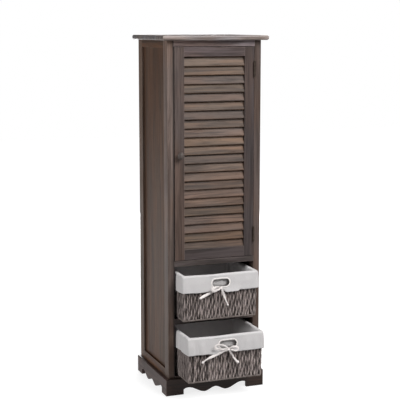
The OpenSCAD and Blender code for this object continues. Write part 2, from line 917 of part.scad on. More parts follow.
// Routes, each from the knot outwards: x, distance in front of the cuff, z from the knot's middle
upper_left_tail = [[-5.5, 6, -3], [-12, 5, -6], [-20, 4, -9], [-29, 3, -12], [-38, 3, -15],
    [-47, 3, -18], [-57, 3, -22], [-66, 3, -26], [-74, 3, -30]];
upper_right_tail = [[3, 6, -5.5], [6, 5, -13], [9, 4, -20], [13, 3, -28], [16, 3, -36],
    [19, 3, -44], [23, 3, -52], [26, 3, -61]];
upper_loop = [[-4, 8, 5], [-10, 10, 8], [-18, 12, 9], [-27, 12, 7], [-33, 12, 2], [-32, 12, -4],
    [-25, 12, -6], [-17, 12, -3], [-10, 12, -1], [-5, 10, 0]];
lower_left_tail = [[-5.5, 6, -3], [-13, 5, -5], [-22, 4, -8], [-32, 3, -11], [-43, 3, -14],
    [-54, 3, -18], [-65, 3, -22], [-76, 3, -27], [-85, 3, -32], [-93, 3, -38]];
lower_right_tail = [[3, 6, -5.5], [7, 5, -12], [12, 4, -18], [16, 3, -25], [20, 3, -32],
    [25, 3, -38], [30, 3, -44], [36, 3, -50]];
lower_left_loop = [[-3, 8, 5], [-9, 10, 10], [-17, 12, 15], [-27, 12, 19], [-38, 12, 21],
    [-46, 12, 20], [-50, 12, 14], [-46, 12, 9], [-36, 12, 6], [-24, 12, 3], [-12, 12, 1], [-5, 10, 0]];
lower_right_loop = [[3, 8, 5], [9, 10, 9], [17, 12, 10], [25, 12, 8], [30, 12, 3], [27, 12, -3],
    [19, 12, -4], [11, 12, -1], [5, 10, 0]];

// A tie whose knot hangs just under the handle hole, x to the side
module tie(x, routes) {
    color(tie_cloth) translate([x, 0, knot_z]) {
        translate([0, -knot_d / 2 - soft_gap, 0]) sphere(d = knot_d);
        for (route = routes) cord([for (p = route) [p[0], -p[1], p[2]]]);
    }
}

upper_knot_x = -4;
lower_knot_x = 5;

// The handle holes stand a little off the baskets' middle
upper_hole_x = -2;
lower_hole_x = 4;

// A basket's piece in its bay, drawn out by pull; the lower face rests on z
module in_bay(pull, z) {
    translate([0, -origin_y - pull, z + soft_gap]) children();
}

module in_upper_bay() {
    in_bay(upper_pull, shelf_z + board_t) children();
}

module in_lower_bay() {
    in_bay(lower_pull, base_top) children();
}

top_panel();
post_front(-1);  // post_front_left
post_front(1);  // post_front_right
post_rear(-1);  // post_rear_left
post_rear(1);  // post_rear_right
front_top_rail();
door_sill_rail();
rear_top_rail();
rear_bottom_rail();
side_rail(-1, side_z1, top_z);  // side_top_rail_left
side_rail(1, side_z1, top_z);  // side_top_rail_right
side_rail(-1, low_rail_z, side_z0);  // side_bottom_rail_left
side_rail(1, low_rail_z, side_z0);  // side_bottom_rail_right
side_panel(-1);  // side_panel_left
side_panel(1);  // side_panel_right
back_panel();
cupboard_floor();
basket_shelf();
base_panel();
inner_shelf(shelf_high_z);  // inner_shelf_upper
inner_shelf(shelf_low_z);  // inner_shelf_lower
shelf_pins();
dowels();
plinth_front();
plinth_side(-1);  // plinth_left
plinth_side(1);  // plinth_right
catch_body();
catch_magnet();
strike_plate();
door_stile_hinge();
door_stile_latch();
door_rail(slats_z1, door_z1);  // door_rail_top
door_rail(door_z0, slats_z0);  // door_rail_bottom
door_slats();
knob();
knob_screw();
hinge_leaf_frame(hinge_high_z);  // hinge_leaf_frame_upper
hinge_leaf_frame(hinge_low_z);  // hinge_leaf_frame_lower
hinge_leaf_door(hinge_high_z);  // hinge_leaf_door_upper
hinge_leaf_door(hinge_low_z);  // hinge_leaf_door_lower
hinge_pin(hinge_high_z);  // hinge_pin_upper
hinge_pin(hinge_low_z);  // hinge_pin_lower
hinge_screws_frame();
hinge_screws_door();
in_upper_bay() woven_basket(upper_hole_x);  // woven_basket_upper
in_upper_bay() wire_frame();  // wire_frame_upper
in_upper_bay() liner(upper_hole_x);  // liner_upper
in_upper_bay() tie(upper_knot_x, [upper_left_tail, upper_right_tail, upper_loop]);  // tie_upper
in_lower_bay() woven_basket(lower_hole_x);  // woven_basket_lower
in_lower_bay() wire_frame();  // wire_frame_lower
in_lower_bay() liner(lower_hole_x);  // liner_lower
in_lower_bay() tie(lower_knot_x, [lower_left_tail, lower_right_tail, lower_left_loop, lower_right_loop]);  // tie_lower
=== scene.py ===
"""Looks of a narrow storage tower: stained wood, a louvred door and two lined rope baskets.

Every length is in metres. A basket's own coordinates start at the front of its cuff, under its
middle: x to the right, y into the tower, z up. basket_place carries them into the tower's frame.
"""

import math

import bpy
import numpy as np
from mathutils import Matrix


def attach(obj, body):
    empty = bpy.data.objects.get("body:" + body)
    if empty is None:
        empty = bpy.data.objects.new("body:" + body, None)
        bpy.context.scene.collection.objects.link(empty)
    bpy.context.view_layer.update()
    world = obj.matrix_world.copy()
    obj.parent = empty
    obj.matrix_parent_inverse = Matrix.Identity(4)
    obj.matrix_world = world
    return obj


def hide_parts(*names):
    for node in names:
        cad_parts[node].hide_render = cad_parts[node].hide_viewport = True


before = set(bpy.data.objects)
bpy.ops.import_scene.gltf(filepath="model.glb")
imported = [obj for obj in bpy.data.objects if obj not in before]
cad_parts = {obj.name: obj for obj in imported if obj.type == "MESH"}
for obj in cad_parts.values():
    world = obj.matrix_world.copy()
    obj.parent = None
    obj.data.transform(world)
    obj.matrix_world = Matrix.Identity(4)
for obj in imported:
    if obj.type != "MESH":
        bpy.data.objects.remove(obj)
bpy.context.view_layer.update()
scene = bpy.context.scene
MM = 0.001
X, Y, Z = 0, 1, 2

# ---- Camera ----

PHOTO_WIDTH = 400
FOCAL_PIXELS = 1122.2
CAMERA_AT = (-1.3401, -3.4741, 1.2215)
CAMERA_TURN = math.radians(20.881)
CAMERA_DOWN = math.radians(8.993)
CLIP_NEAR, CLIP_FAR = 0.05, 100


def add_camera():
    """Camera at the photograph's place, turned to the right and tilted down a little."""
    data = bpy.data.cameras.new("camera")
    data.lens = data.sensor_width * FOCAL_PIXELS / PHOTO_WIDTH
    data.clip_start, data.clip_end = CLIP_NEAR, CLIP_FAR
    camera = bpy.data.objects.new("camera", data)
    camera.location = CAMERA_AT
    camera.rotation_euler = (math.pi / 2 - CAMERA_DOWN, 0, -CAMERA_TURN)
    scene.collection.objects.link(camera)
    scene.camera = camera


add_camera()

# ---- Meshes from whole arrays ----


def new_mesh(name, points, faces, uv=None):
    """Object called name from points (n, 3) and faces, a list with each face's corners.

    uv has one row to each corner of each face, in the same order.
    """
    mesh = bpy.data.meshes.new(name)
    mesh.from_pydata(np.asarray(points, float).reshape(-1, 3).tolist(), [], faces)
    if uv is not None:
        layer = mesh.uv_layers.new(name="UVMap")
        layer.data.foreach_set("uv", np.asarray(uv, np.float32).ravel())
    mesh.shade_smooth()
    mesh.update()
    thing = bpy.data.objects.new(name, mesh)
    scene.collection.objects.link(thing)
    return thing


def set_point_numbers(thing, name, values):
    """Gives a mesh one number to each point, for its material to read."""
    layer = thing.data.attributes.new(name, "FLOAT", "POINT")
    layer.data.foreach_set("value", np.asarray(values, np.float32).ravel())


def grid_quads(count, rows, columns, wrap_rows=False, wrap_columns=False):
    """Corners of every quad of count grids, and each corner's (column, row).

    Point (k, i, j) has number (k * rows + i) * columns + j, and a quad's corners are
    (i, j), (i, j + 1), (i + 1, j + 1) and (i + 1, j), each counted round where its side wraps.
    """
    k, i, j = np.meshgrid(np.arange(count), np.arange(rows - (not wrap_rows)),
                          np.arange(columns - (not wrap_columns)), indexing="ij")
    row = np.stack([i, i, i + 1, i + 1], -1).reshape(-1, 4)
    column = np.stack([j, j + 1, j + 1, j], -1).reshape(-1, 4)
    corner = (k.reshape(-1, 1) * rows + row % rows) * columns + column % columns
    return corner, np.stack([column, row], -1)


def unit(v):
    """Vectors v scaled to length 1."""
    return v / np.linalg.norm(v, axis=-1, keepdims=True)


def smooth_path(points, steps):
    """Catmull-Rom curve through points, steps points to each span.

    Between b and c, with neighbours a and d, it is half of
    2b + (c - a) t + (2a - 5b + 4c - d) t^2 + (3b - a - 3c + d) t^3.
    """
    p = np.asarray(points, float)
    p = np.concatenate([[2 * p[0] - p[1]], p, [2 * p[-1] - p[-2]]])
    a, b, c, d = (p[n:len(p) - 3 + n, None, :] for n in range(4))
    t = np.linspace(0, 1, steps, endpoint=False)[None, :, None]
    curve = 0.5 * (2 * b + (c - a) * t + (2 * a - 5 * b + 4 * c - d) * t ** 2
                   + (3 * b - a - 3 * c + d) * t ** 3)
    return np.concatenate([curve.reshape(-1, 3), p[-2:-1]])


def swept(name, paths, side, across, out, closed=False):
    """Tubes along paths (k, n, 3), made as one object.

    At each path point stand the unit vectors B, which is side squared up to the path's heading T,
    and N = B x T. side is one vector or one to each point. Ring point j is
    path + out[j] * N + across[j] * B, where across and out are the section's two coordinates,
    (k, n, m) or anything that broadcasts to it. Open ends get a cap.
    """
    paths = np.asarray(paths, float)
    if closed:
        ahead = np.roll(paths, -1, 1) - np.roll(paths, 1, 1)
    else:
        ahead = np.gradient(paths, axis=1)
    t = unit(ahead)
    b = unit(side - (side * t).sum(-1, keepdims=True) * t)
    n = np.cross(b, t)
    k, rows = paths.shape[:2]
    columns = across.shape[-1]
    points = paths[:, :, None] + out[..., None] * n[:, :, None] + across[..., None] * b[:, :, None]
    points = np.broadcast_to(points, (k, rows, columns, 3))
    corner, place = grid_quads(k, rows, columns, closed, True)
    faces = corner.tolist()
    length = np.linalg.norm(np.diff(paths, axis=1), axis=-1).mean()
    uv = (place * [1 / columns, length]).reshape(-1, 2)
    if not closed:
        ring = np.arange(columns)
        first = np.arange(k)[:, None] * rows * columns + ring[::-1]
        last = first[:, ::-1] + (rows - 1) * columns
        faces += first.tolist() + last.tolist()
        uv = np.concatenate([uv, np.zeros((2 * k * columns, 2))])
    return new_mesh(name, points, faces, uv)


WAIST, BULGE = 0.8, 0.2


def twist_section(run, radius, lay, sides, phase=0.0):
    """Section of a cord of two strands: radius * (WAIST + BULGE |cos(a - turn)|) at angle a.

    run is the length along the cord, and turn grows by half a circle over each lay.
    """
    a = np.linspace(0, 2 * np.pi, sides, endpoint=False)
    turn = np.pi * run[..., None] / lay + phase
    r = radius * (WAIST + BULGE * np.abs(np.cos(a - turn)))
    return r * np.cos(a), r * np.sin(a)


# ---- The baskets' measures, as the tower's solids have them ----

TOWER_Y = -0.094
BASKETS = {"upper": (-0.064, 0.2563), "lower": (-0.112, 0.0623)}
WEAVE_HALF, WEAVE_FRONT, WEAVE_REAR, WEAVE_H = 0.131, 0.003, 0.247, 0.153
CORNER_R, BAG_CORNER_R, LEAN, FOOT_R = 0.008, 0.020, 0.006, 0.012
KNOT_Z = 0.109
KNOT_X = {"upper": -0.004, "lower": 0.005}
HOLE_Z, HOLE_W, HOLE_H = 0.126, 0.062, 0.027
HOLE_X = {"upper": -0.002, "lower": 0.004}


def basket_place(points, which):
    """Points of a basket's own coordinates carried into the tower's frame."""
    front, low = BASKETS[which]
    return np.asarray(points, float) + [0, TOWER_Y + front, low]


def way_round():
    """Lengths of the stretches round the weave, from the middle of the front to the right: half
    the front, corner, side, corner, back, corner, side, corner and the front's other half.
    """
    half = WEAVE_HALF - CORNER_R
    depth = WEAVE_REAR - WEAVE_FRONT - 2 * CORNER_R
    bend = np.pi / 2 * CORNER_R
    return np.array([half, bend, depth, bend, 2 * half, bend, depth, bend, half])


def round_steps(front, bend, side):
    """Shares of the way round, with that many steps to half the front, a corner and a side."""
    counts = [front, bend, side, bend, 2 * front, bend, side, bend, front]
    step = np.arange(sum(counts))
    at = np.interp(step, np.cumsum([0] + counts), np.concatenate([[0], np.cumsum(way_round())]))
    return at / way_round().sum()


def plan(share):
    """Where a share of the way round falls: x and y of its corner's centre, from -1 to 1, and the
    heading of the outward normal. Share 0 is the middle of the front.
    """
    s = np.concatenate([[0], np.cumsum(way_round())])
    at = np.mod(share, 1) * s[-1]
    cx = np.interp(at, s, [0, 1, 1, 1, 1, -1, -1, -1, -1, 0])
    cy = np.interp(at, s, [-1, -1, -1, 1, 1, 1, 1, -1, -1, -1])
    angle = np.interp(at, s, np.radians([-90, -90, 0, 0, 90, 90, 180, 180, 270, 270]))
    return cx, cy, angle


def wall_point(share, z, depth, lean=LEAN, corner=CORNER_R):
    """Point on a basket's wall: the plan's rounded rectangle drawn in by depth, at height z.

    The front stands lean * (1 - z / WEAVE_H) further back than at the rim, and a corner's
    radius is corner - depth, at least 1 mm.
    """
    share, z, depth, lean, corner = np.broadcast_arrays(share, z, depth, lean, corner)
    cx, cy, angle = plan(share)
    r = np.maximum(corner - depth, MM)
    front = WEAVE_FRONT + lean * (1 - z / WEAVE_H) + depth + r
    rear = WEAVE_REAR - depth - r
    x = cx * (WEAVE_HALF - depth - r) + r * np.cos(angle)
    y = (front + rear) / 2 + cy * (rear - front) / 2 + r * np.sin(angle)
    return np.stack([x, y, z], -1)


# ---- Ties: a soft tape tied in a bow under each handle hole ----

TAPE_W, TAPE_T = 0.006, 0.0022
TAPE_SIDES, SPAN_STEPS = 14, 8
PLIES, PLY_DEPTH, PLY_LAY = 3, 0.08, 0.009
ROLL, ROLL_WAVE, ROLL_START = 0.35, 7, 0.006
BALL_NECK, BALL_FLAT = 1.6, 0.8
KNOT_OUT, KNOT_R, KNOT_GROOVE = 0.0058, 0.0052, 0.16
KNOT_WIDE, KNOT_DEEP = 1.05, 0.82
# Each strand's route as (x, distance before the cuff, z from the knot), its widths at even steps
# from the knot outwards and its end knot's width, all in millimetres
TAPES = {
    "upper": {
        "left_tail": (
            [[-5.5, 6, -3], [-12, 5, -6], [-20, 4, -9], [-29, 3, -12], [-38, 3, -15],
             [-47, 3, -18], [-57, 3, -22], [-66, 3, -26], [-74, 3, -30]],
            [4.0, 4.6, 6.6, 8.8, 9.0, 6.0], 8.0),
        "right_tail": (
            [[3, 6, -5.5], [6, 5, -13], [9, 4, -20], [13, 3, -28], [16, 3, -36], [19, 3, -44],
             [23, 3, -52], [26, 3, -61]],
            [6.5, 9.0, 8.0, 5.6, 4.2, 3.8], 6.4),
        "left_loop": (
            [[-4, 8, 4], [-10, 10, 6], [-18, 12, 6], [-26, 12, 4], [-31, 12, -1], [-30, 12, -6],
             [-24, 12, -7], [-17, 12, -4], [-10, 12, -2], [-5, 10, 0]],
            [4, 7, 9, 9, 7, 4], 0),
    },
    "lower": {
        "left_tail": (
            [[-5.5, 6, -3], [-13, 5, -5], [-22, 4, -8], [-32, 3, -11], [-43, 3, -14],
             [-54, 3, -18], [-65, 3, -22], [-76, 3, -27], [-85, 3, -32], [-93, 3, -38]],
            [4.2, 6.5, 9.0, 8.4, 5.8, 4.2], 9.0),
        "right_tail": (
            [[3, 6, -5.5], [7, 5, -12], [12, 4, -18], [16, 3, -25], [20, 3, -32], [25, 3, -38],
             [30, 3, -44], [36, 3, -50]],
            [6.0, 6.2, 5.6, 5.8, 7.4, 7.4], 10.0),
        "left_loop": (
            [[-3, 8, 5], [-9, 10, 10], [-17, 12, 15], [-27, 12, 19], [-38, 12, 21], [-46, 12, 20],
             [-50, 12, 14], [-46, 12, 9], [-36, 12, 6], [-24, 12, 3], [-12, 12, 1], [-5, 10, 0]],
            [4, 6, 7, 7, 6, 4], 0),
        "right_loop": (
            [[3, 8, 5], [9, 10, 9], [17, 12, 10], [25, 12, 8], [30, 12, 3], [27, 12, -3],
             [19, 12, -4], [11, 12, -1], [5, 10, 0]],
            [4, 6, 7, 6, 5, 4], 0),
    },
}


def tape_path(which, route):
    """A strand's route as a smooth curve in the tower's frame."""
    r = np.asarray(route, float) * MM
    points = np.stack([KNOT_X[which] + r[:, 0], -r[:, 1], KNOT_Z + r[:, 2]], -1)
    return smooth_path(basket_place(points, which), SPAN_STEPS)


def add_tape(which, part, tape_cloth):
    """A soft tape along its route, flat side to the front, with plies that wind round it.

    At angle a its section is (wide cos a, thick sin a) times 1 + PLY_DEPTH cos(PLIES a - turn),
    where turn grows by a full circle over PLY_LAY. Twice wide follows its widths. The section
    rolls about the route by up to ROLL, and not at the knot. A tail narrows over BALL_NECK times
    the radius k of the ball at its end, whose half width is the root of
    k^2 - (distance from the ball's middle)^2.
    """
    route, widths, ball_d = TAPES[which][part]
    path = tape_path(which, route)
    run = np.concatenate([[0], np.cumsum(np.linalg.norm(np.diff(path, axis=0), axis=1))])
    along = run / run[-1]
    k = max(ball_d / 2, 0.1) * MM
    ball = np.sqrt(np.clip(k ** 2 - (run - run[-1] + k) ** 2, 0, None))
    free = np.clip((run[-1] - run) / (BALL_NECK * k), 0.1, 1) if ball_d else 1.0
    steps = np.linspace(0, 1, len(widths))
    wide = np.maximum(np.interp(along, steps, widths) / 2 * MM * free, ball)
    thick = np.maximum(TAPE_T / 2 * free, BALL_FLAT * ball)
    roll = ROLL * np.sin(ROLL_WAVE * along + 2 * len(route)) * (1 - np.exp(-run / ROLL_START))
    a = np.linspace(0, 2 * np.pi, TAPE_SIDES, endpoint=False)
    ply = 1 + PLY_DEPTH * np.cos(PLIES * a - 2 * np.pi * run[:, None] / PLY_LAY)
    flat_x, flat_y = ply * wide[:, None] * np.cos(a), ply * thick[:, None] * np.sin(a)
    cos, sin = np.cos(roll)[:, None], np.sin(roll)[:, None]
    across, out = flat_x * cos - flat_y * sin, flat_x * sin + flat_y * cos
    side = unit(np.cross(np.gradient(path, axis=0), [0, -1, 0]))
    tape = swept(f"tape_{which}_{part}", path[None], side[None], across[None], out[None])
    tape.data.materials.append(tape_cloth)
    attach(tape, f"basket_{which}")
    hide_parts(f"tie_{which}")


def add_tie_knot(which, tape_cloth):
    """The bow's knot: a ball 11 mm wide with soft grooves where the tape wraps over itself.

    At longitude a and latitude b its radius is KNOT_R (1 - KNOT_GROOVE cos((3b + a) / 2)^8), and
    then it is stretched across by KNOT_WIDE and flattened from front to back by KNOT_DEEP.
    """
    b, a = np.meshgrid(np.linspace(-np.pi / 2, np.pi / 2, 21)[1:-1],
                       np.linspace(0, 2 * np.pi, 32, endpoint=False), indexing="ij")
    r = KNOT_R * (1 - KNOT_GROOVE * np.cos(1.5 * b + 0.5 * a) ** 8)
    ball = np.stack([KNOT_WIDE * r * np.cos(b) * np.cos(a), KNOT_DEEP * r * np.cos(b) * np.sin(a),
                     r * np.sin(b)], -1)
    middle = np.array([KNOT_X[which], -KNOT_OUT, KNOT_Z])
    corner, _ = grid_quads(1, *b.shape, False, True)
    rows, columns = b.shape
    faces = corner.tolist() + [list(range(columns))[::-1],
                               list(range((rows - 1) * columns, rows * columns))]
    knot = new_mesh(f"tie_knot_{which}", basket_place(ball + middle, which), faces)
    knot.data.materials.append(tape_cloth)
    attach(knot, f"basket_{which}")
    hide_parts(f"tie_{which}")


# ---- Materials ----


def add(tree, kind, out=0, props=(), **inputs):
    """New node of that kind, as its output number out.

    An input that is a socket is linked, and any other is set. n0 is input number 0.
    """
    node = tree.nodes.new("ShaderNode" + kind)
    for name, value in dict(props).items():
        setattr(node, name, value)
    for name, value in inputs.items():
        key = int(name[1:]) if name[1:].isdigit() else name.replace("_", " ")
        if isinstance(value, bpy.types.NodeSocket):
            tree.links.new(value, node.inputs[key])
        else:
            node.inputs[key].default_value = value
    return node.outputs[out]


def maths(tree, what, a, b=0.0):
    """One Math node."""
    return add(tree, "Math", props={"operation": what}, n0=a, n1=b)


def plus(tree, a, b):
    """a + b."""
    return maths(tree, "ADD", a, b)


def minus(tree, a, b):
    """a - b."""
    return maths(tree, "SUBTRACT", a, b)


def times(tree, a, b):
    """a * b."""
    return maths(tree, "MULTIPLY", a, b)


def parts_of(tree, vector):
    """The x, y and z of a vector."""
    node = tree.nodes.new("ShaderNodeSeparateXYZ")
    tree.links.new(vector, node.inputs[0])
    return node.outputs


def between(tree, factor, low, high, how="MIX"):
    """Mix of two colours by factor."""
    return add(tree, "Mix", 2, {"data_type": "RGBA", "blend_type": how},
               n0=factor, n6=low, n7=high)


def ramp(tree, value, low, high):
    """value from low to high carried to 0 to 1, smoothly and clamped."""
    return add(tree, "MapRange", props={"interpolation_type": "SMOOTHSTEP"},
               Value=value, From_Min=low, From_Max=high)


def shape_place(tree):
    """The place on the piece, in its own metres."""
    return add(tree, "TexCoord", 3)


def rounded(tree, radius):
    """The direction a face looks in, as if its edges were rounded by radius."""
    return add(tree, "Bevel", props={"samples": 4}, Radius=radius)


def colour(r, g, b):
    """A colour seen on screen as r, g, b of 255, as the shader's own numbers."""
    c = np.array([r, g, b]) / 255
    return (*np.where(c <= 0.04045, c / 12.92, ((c + 0.055) / 1.055) ** 2.4), 1.0)


def shaded(tone, share, more=0.0):
    """A colour times a share, or three shares, and more added to it."""
    return (*np.clip(np.array(tone[:3]) * share + more, 0, 1), 1)


def finish_start(name, **settings):
    """New material with its tree and its principled shader, whose plain settings are set."""
    made = bpy.data.materials.new(name)
    made.use_nodes = True
    shader = made.node_tree.nodes["Principled BSDF"]
    for key, value in settings.items():
        shader.inputs[key.replace("_", " ")].default_value = value
    return made, made.node_tree, shader


def give_colour(tree, shader, base):
    """Links the shader's colour."""
    tree.links.new(base, shader.inputs["Base Color"])


# Each finish's relief: strength, height and, if its edges look rounded, their radius
RELIEF = {"wood": (0.5, 0.00035, 0.0009), "steel": (0.25, 0.00008, 0.0003),
          "plastic": (0.3, 0.0001), "cloth": (0.35, 0.0003), "rope": (0.6, 0.0006)}


def give_relief(tree, shader, height, kind):
    """Links the shader's relief: bumps from height, of that kind."""
    strength, distance, *radius = RELIEF[kind]
    below = {"Normal": rounded(tree, *radius)} if radius else {}
    bump = add(tree, "Bump", Strength=strength, Distance=distance, Height=height, **below)
    tree.links.new(bump, shader.inputs["Normal"])


# Where each pattern starts to show and where it shows in full
SHOWS = {"pore": (0.60, 0.74), "band": (0.40, 0.60), "blotch": (0.5, 0.72), "edge": (0.985, 0.80),
         "rub_highlight": (0.32, 0.62), "end": (0.15, 0.5), "slat": (0.1, 0.9), "dull": (0.4, 0.68),
         "dye": (0.35, 0.75), "patch": (0.3, 0.7), "fleck": (0.55, 0.8), "crown": (0.2, 0.95),
         "side": (0.121, 0.130)}
# Patterns that are alike in every direction: scale and detail
NOISES = {"brushing": (900, 4), "dull": (140, 3), "skin": (1600, 2), "mottle": (60, 2),
          "slub": (420, 3), "dye": (26, 3), "fleck": (520, 4)}


def shows(tree, value, kind):
    """How far a pattern of that kind shows, from 0 to 1."""
    return ramp(tree, value, *SHOWS[kind])


def noise(tree, spot, kind, rough=0.5):
    """One of NOISES."""
    scale, detail = NOISES[kind]
    return add(tree, "TexNoise", Vector=spot, Scale=scale, Detail=detail, Roughness=rough)


# Patterns in wood: how fine across the grain and along it, then detail, roughness and bend
GRAINS = {"fibre": (420, 9, 6.0, 0.65, 0.0), "figure": (54, 2.8, 4.0, 0.6, 0.9),
          "band": (15, 3.6, 2.0, 0.5, 0.0), "blotch": (17, 5, 3.0, 0.5, 0.0),
          "pore": (900, 26, 2.0, 0.5, 0.0)}
FIGURE_PART, FIBRE_PART = 0.66, 0.34
DARK_FIGURE, LIGHT_FIGURE = [0.50, 0.47, 0.45], [1.50, 1.53, 1.56]
WARM_BAND, COOL_BAND = (1.09, 0.97, 0.88, 1), (0.96, 0.98, 1.02, 1)
WARM_SLAT, COOL_SLAT = (1.07, 1.00, 0.88, 1), (0.91, 0.90, 0.98, 1)
SLAT_JUMP, SLAT_STIR, SHADE_LEAST, SHADE_MORE = 9.0, 7.3, 0.80, 0.40
BLOTCH, BLOTCH_PART = [0.74, 0.68, 0.62], 0.4
PORE, PORE_PART = 0.3, 0.45
# Edges are lighter: rubbed wear, and partly a painted highlight along them.
RUB_HIGHLIGHT, RUB_HIGHLIGHT_ADD, RUB_HIGHLIGHT_LEAST, RUB_HIGHLIGHT_MORE = 2.2, 0.03, 0.38, 0.45
RUB_HIGHLIGHT_R = 0.0024
# Dark tone for the top board's end grain staining and for painted shade.
DARK_STAIN_AND_SHADE = 0.1
WOOD_ROUGH, FIBRE_ROUGH, PORE_ROUGH, FIBRE_HEIGHT = 0.45, 0.16, 0.2, 0.7


def slat_number(tree, spot, slats):
    """A random number from 0 to 1 for the slat at spot, the same all over one slat of SLATS."""
    lean, low_z, pitch, mid_y = slats
    _, y, z = parts_of(tree, spot)
    rise = times(tree, minus(tree, y, mid_y), 1 / math.tan(lean))
    place = maths(tree, "DIVIDE", minus(tree, minus(tree, z, rise), low_z), pitch)
    return add(tree, "TexWhiteNoise", props={"noise_dimensions": "1D"},
               W=maths(tree, "FLOOR", place))


def wood(name, tone, along, seed, even, slats=None, stained=None, painted_shade=()):
    """Stained wood with its grain along one axis.

    Fine fibres and long pores are noise squeezed along the grain, and the figure is a slower one,
    stronger the smaller even is. The staining took unevenly, warm and cool in long bands, with
    dull blotches, and edges are lighter, partly rubbed and partly a painted highlight. With slats,
    each slat has its own shade and warmth. stained gives an axis and the share of their colour
    that faces looking along it keep over a dark tone: more staining on the top board's end grain,
    and painted shade in the gaps beside the door stiles' edges. Each place of painted shade gives
    an axis, a place, a width and a share: over half the width to both sides that share is painted
    shade, and none from the whole width on. seed shifts the patterns.
    """
    made, tree, shader = finish_start(name, Specular_IOR_Level=0.3)
    spot = shape_place(tree)
    shift = [seed * 1.7 % 5, seed * 2.3 % 7, seed * 0.9 % 3]
    if slats:
        own = slat_number(tree, spot, slats)
        jump = add(tree, "CombineXYZ", X=times(tree, own, SLAT_JUMP))
        spot = add(tree, "VectorMath", props={"operation": "ADD"}, n0=spot, n1=jump)

    def grain(kind):
        across, down, detail, rough, bend = GRAINS[kind]
        scale = [down if axis == along else across for axis in (X, Y, Z)]
        at = add(tree, "Mapping", Vector=spot, Location=shift, Scale=scale)
        return add(tree, "TexNoise", Vector=at, Scale=1.0, Detail=detail, Roughness=rough,
                   Distortion=bend)

    fibre, figure, band, blotch = (grain(kind) for kind in ("fibre", "figure", "band", "blotch"))
    pore = shows(tree, grain("pore"), "pore")
    mixed = plus(tree, times(tree, figure, FIGURE_PART), times(tree, fibre, FIBRE_PART))
    base = between(tree, ramp(tree, mixed, 0.5 - even, 0.5 + even),
                   shaded(tone, DARK_FIGURE), shaded(tone, LIGHT_FIGURE))
    hue = between(tree, shows(tree, band, "band"), WARM_BAND, COOL_BAND)
    base = between(tree, 1.0, base, hue, "MULTIPLY")
    base = between(tree, times(tree, shows(tree, blotch, "blotch"), BLOTCH_PART), base,
                   shaded(tone, BLOTCH))
    if slats:
        warmth = between(tree, shows(tree, own, "slat"), WARM_SLAT, COOL_SLAT)
        base = between(tree, 1.0, base, warmth, "MULTIPLY")
        other = maths(tree, "FRACT", times(tree, own, SLAT_STIR))
        shade = plus(tree, times(tree, other, SHADE_MORE), SHADE_LEAST)
        grey = add(tree, "CombineColor", Red=shade, Green=shade, Blue=shade)
        base = between(tree, 1.0, base, grey, "MULTIPLY")
    base = between(tree, times(tree, pore, PORE_PART), base, shaded(tone, PORE))
    # Edges are lighter: rubbed wear, and partly a painted highlight along them.
    on_edge = add(tree, "VectorMath", 1, {"operation": "DOT_PRODUCT"},
                  n0=rounded(tree, RUB_HIGHLIGHT_R), n1=add(tree, "NewGeometry", 1))
    hard = plus(tree, times(tree, shows(tree, blotch, "rub_highlight"), RUB_HIGHLIGHT_MORE), RUB_HIGHLIGHT_LEAST)
    base = between(tree, times(tree, shows(tree, on_edge, "edge"), hard), base,
                   shaded(tone, RUB_HIGHLIGHT, RUB_HIGHLIGHT_ADD))
    # Faces looking along the axis take a dark tone: more staining on the top board's end grain,
    # and painted shade on the door stiles' side faces for the gaps beside them.
    if stained:
        axis, share = stained
        looks = parts_of(tree, add(tree, "TexCoord", 1))
        end = shows(tree, maths(tree, "ABSOLUTE", looks[axis]), "end")
        base = between(tree, times(tree, end, 1 - share), base, shaded(tone, DARK_STAIN_AND_SHADE))
    # Painted shade: each place lays a dark tone over a band of the piece, for shadows in gaps and
    # beside the baskets.
    for axis, place, width, share in painted_shade:
        away = maths(tree, "ABSOLUTE", minus(tree, parts_of(tree, spot)[axis], place))
        near = ramp(tree, away, width, 0.5 * width)
        base = between(tree, times(tree, near, share), base, shaded(tone, DARK_STAIN_AND_SHADE))
    give_colour(tree, shader, base)
    rough = plus(tree, times(tree, fibre, FIBRE_ROUGH), WOOD_ROUGH)
    tree.links.new(plus(tree, rough, times(tree, pore, PORE_ROUGH)), shader.inputs["Roughness"])
    give_relief(tree, shader, minus(tree, times(tree, fibre, FIBRE_HEIGHT), pore), "wood")
    return made


DULL_STEEL, DULL_ROUGH, CLEAN_ROUGH, MOTTLE = 0.62, 0.3, -0.15, 0.86


def steel(name, tone, rough):
    """Plain worked steel: fine brushing in every direction and dull spots.

    rough is the roughness halfway between its clean and its dull places.
    """
    made, tree, shader = finish_start(name, Metallic=0.9)
    spot = shape_place(tree)
    dull = noise(tree, spot, "dull")
    worn = shaded(tone, DULL_STEEL)
    give_colour(tree, shader, between(tree, shows(tree, dull, "dull"), tone, worn))
    tree.links.new(plus(tree, times(tree, dull, DULL_ROUGH), rough + CLEAN_ROUGH),
                   shader.inputs["Roughness"])
    give_relief(tree, shader, noise(tree, spot, "brushing"), "steel")
    return made


def plastic(name, tone):
    """Moulded plastic with a fine spark-eroded skin."""
    made, tree, shader = finish_start(name, Roughness=0.5)
    spot = shape_place(tree)
    low = shaded(tone, MOTTLE)
    give_colour(tree, shader, between(tree, noise(tree, spot, "mottle"), tone, low))
    give_relief(tree, shader, noise(tree, spot, "skin"), "plastic")
    return made


def uv_parts(tree):
    """The piece's own UV, as its two numbers and a third that isn't used."""
    return parts_of(tree, add(tree, "UVMap", props={"uv_map": "UVMap"}))


THREAD_PART, DYE, DYE_PART, SLUB_HEIGHT = 0.5, [0.9, 0.89, 0.87], 0.3, 0.8


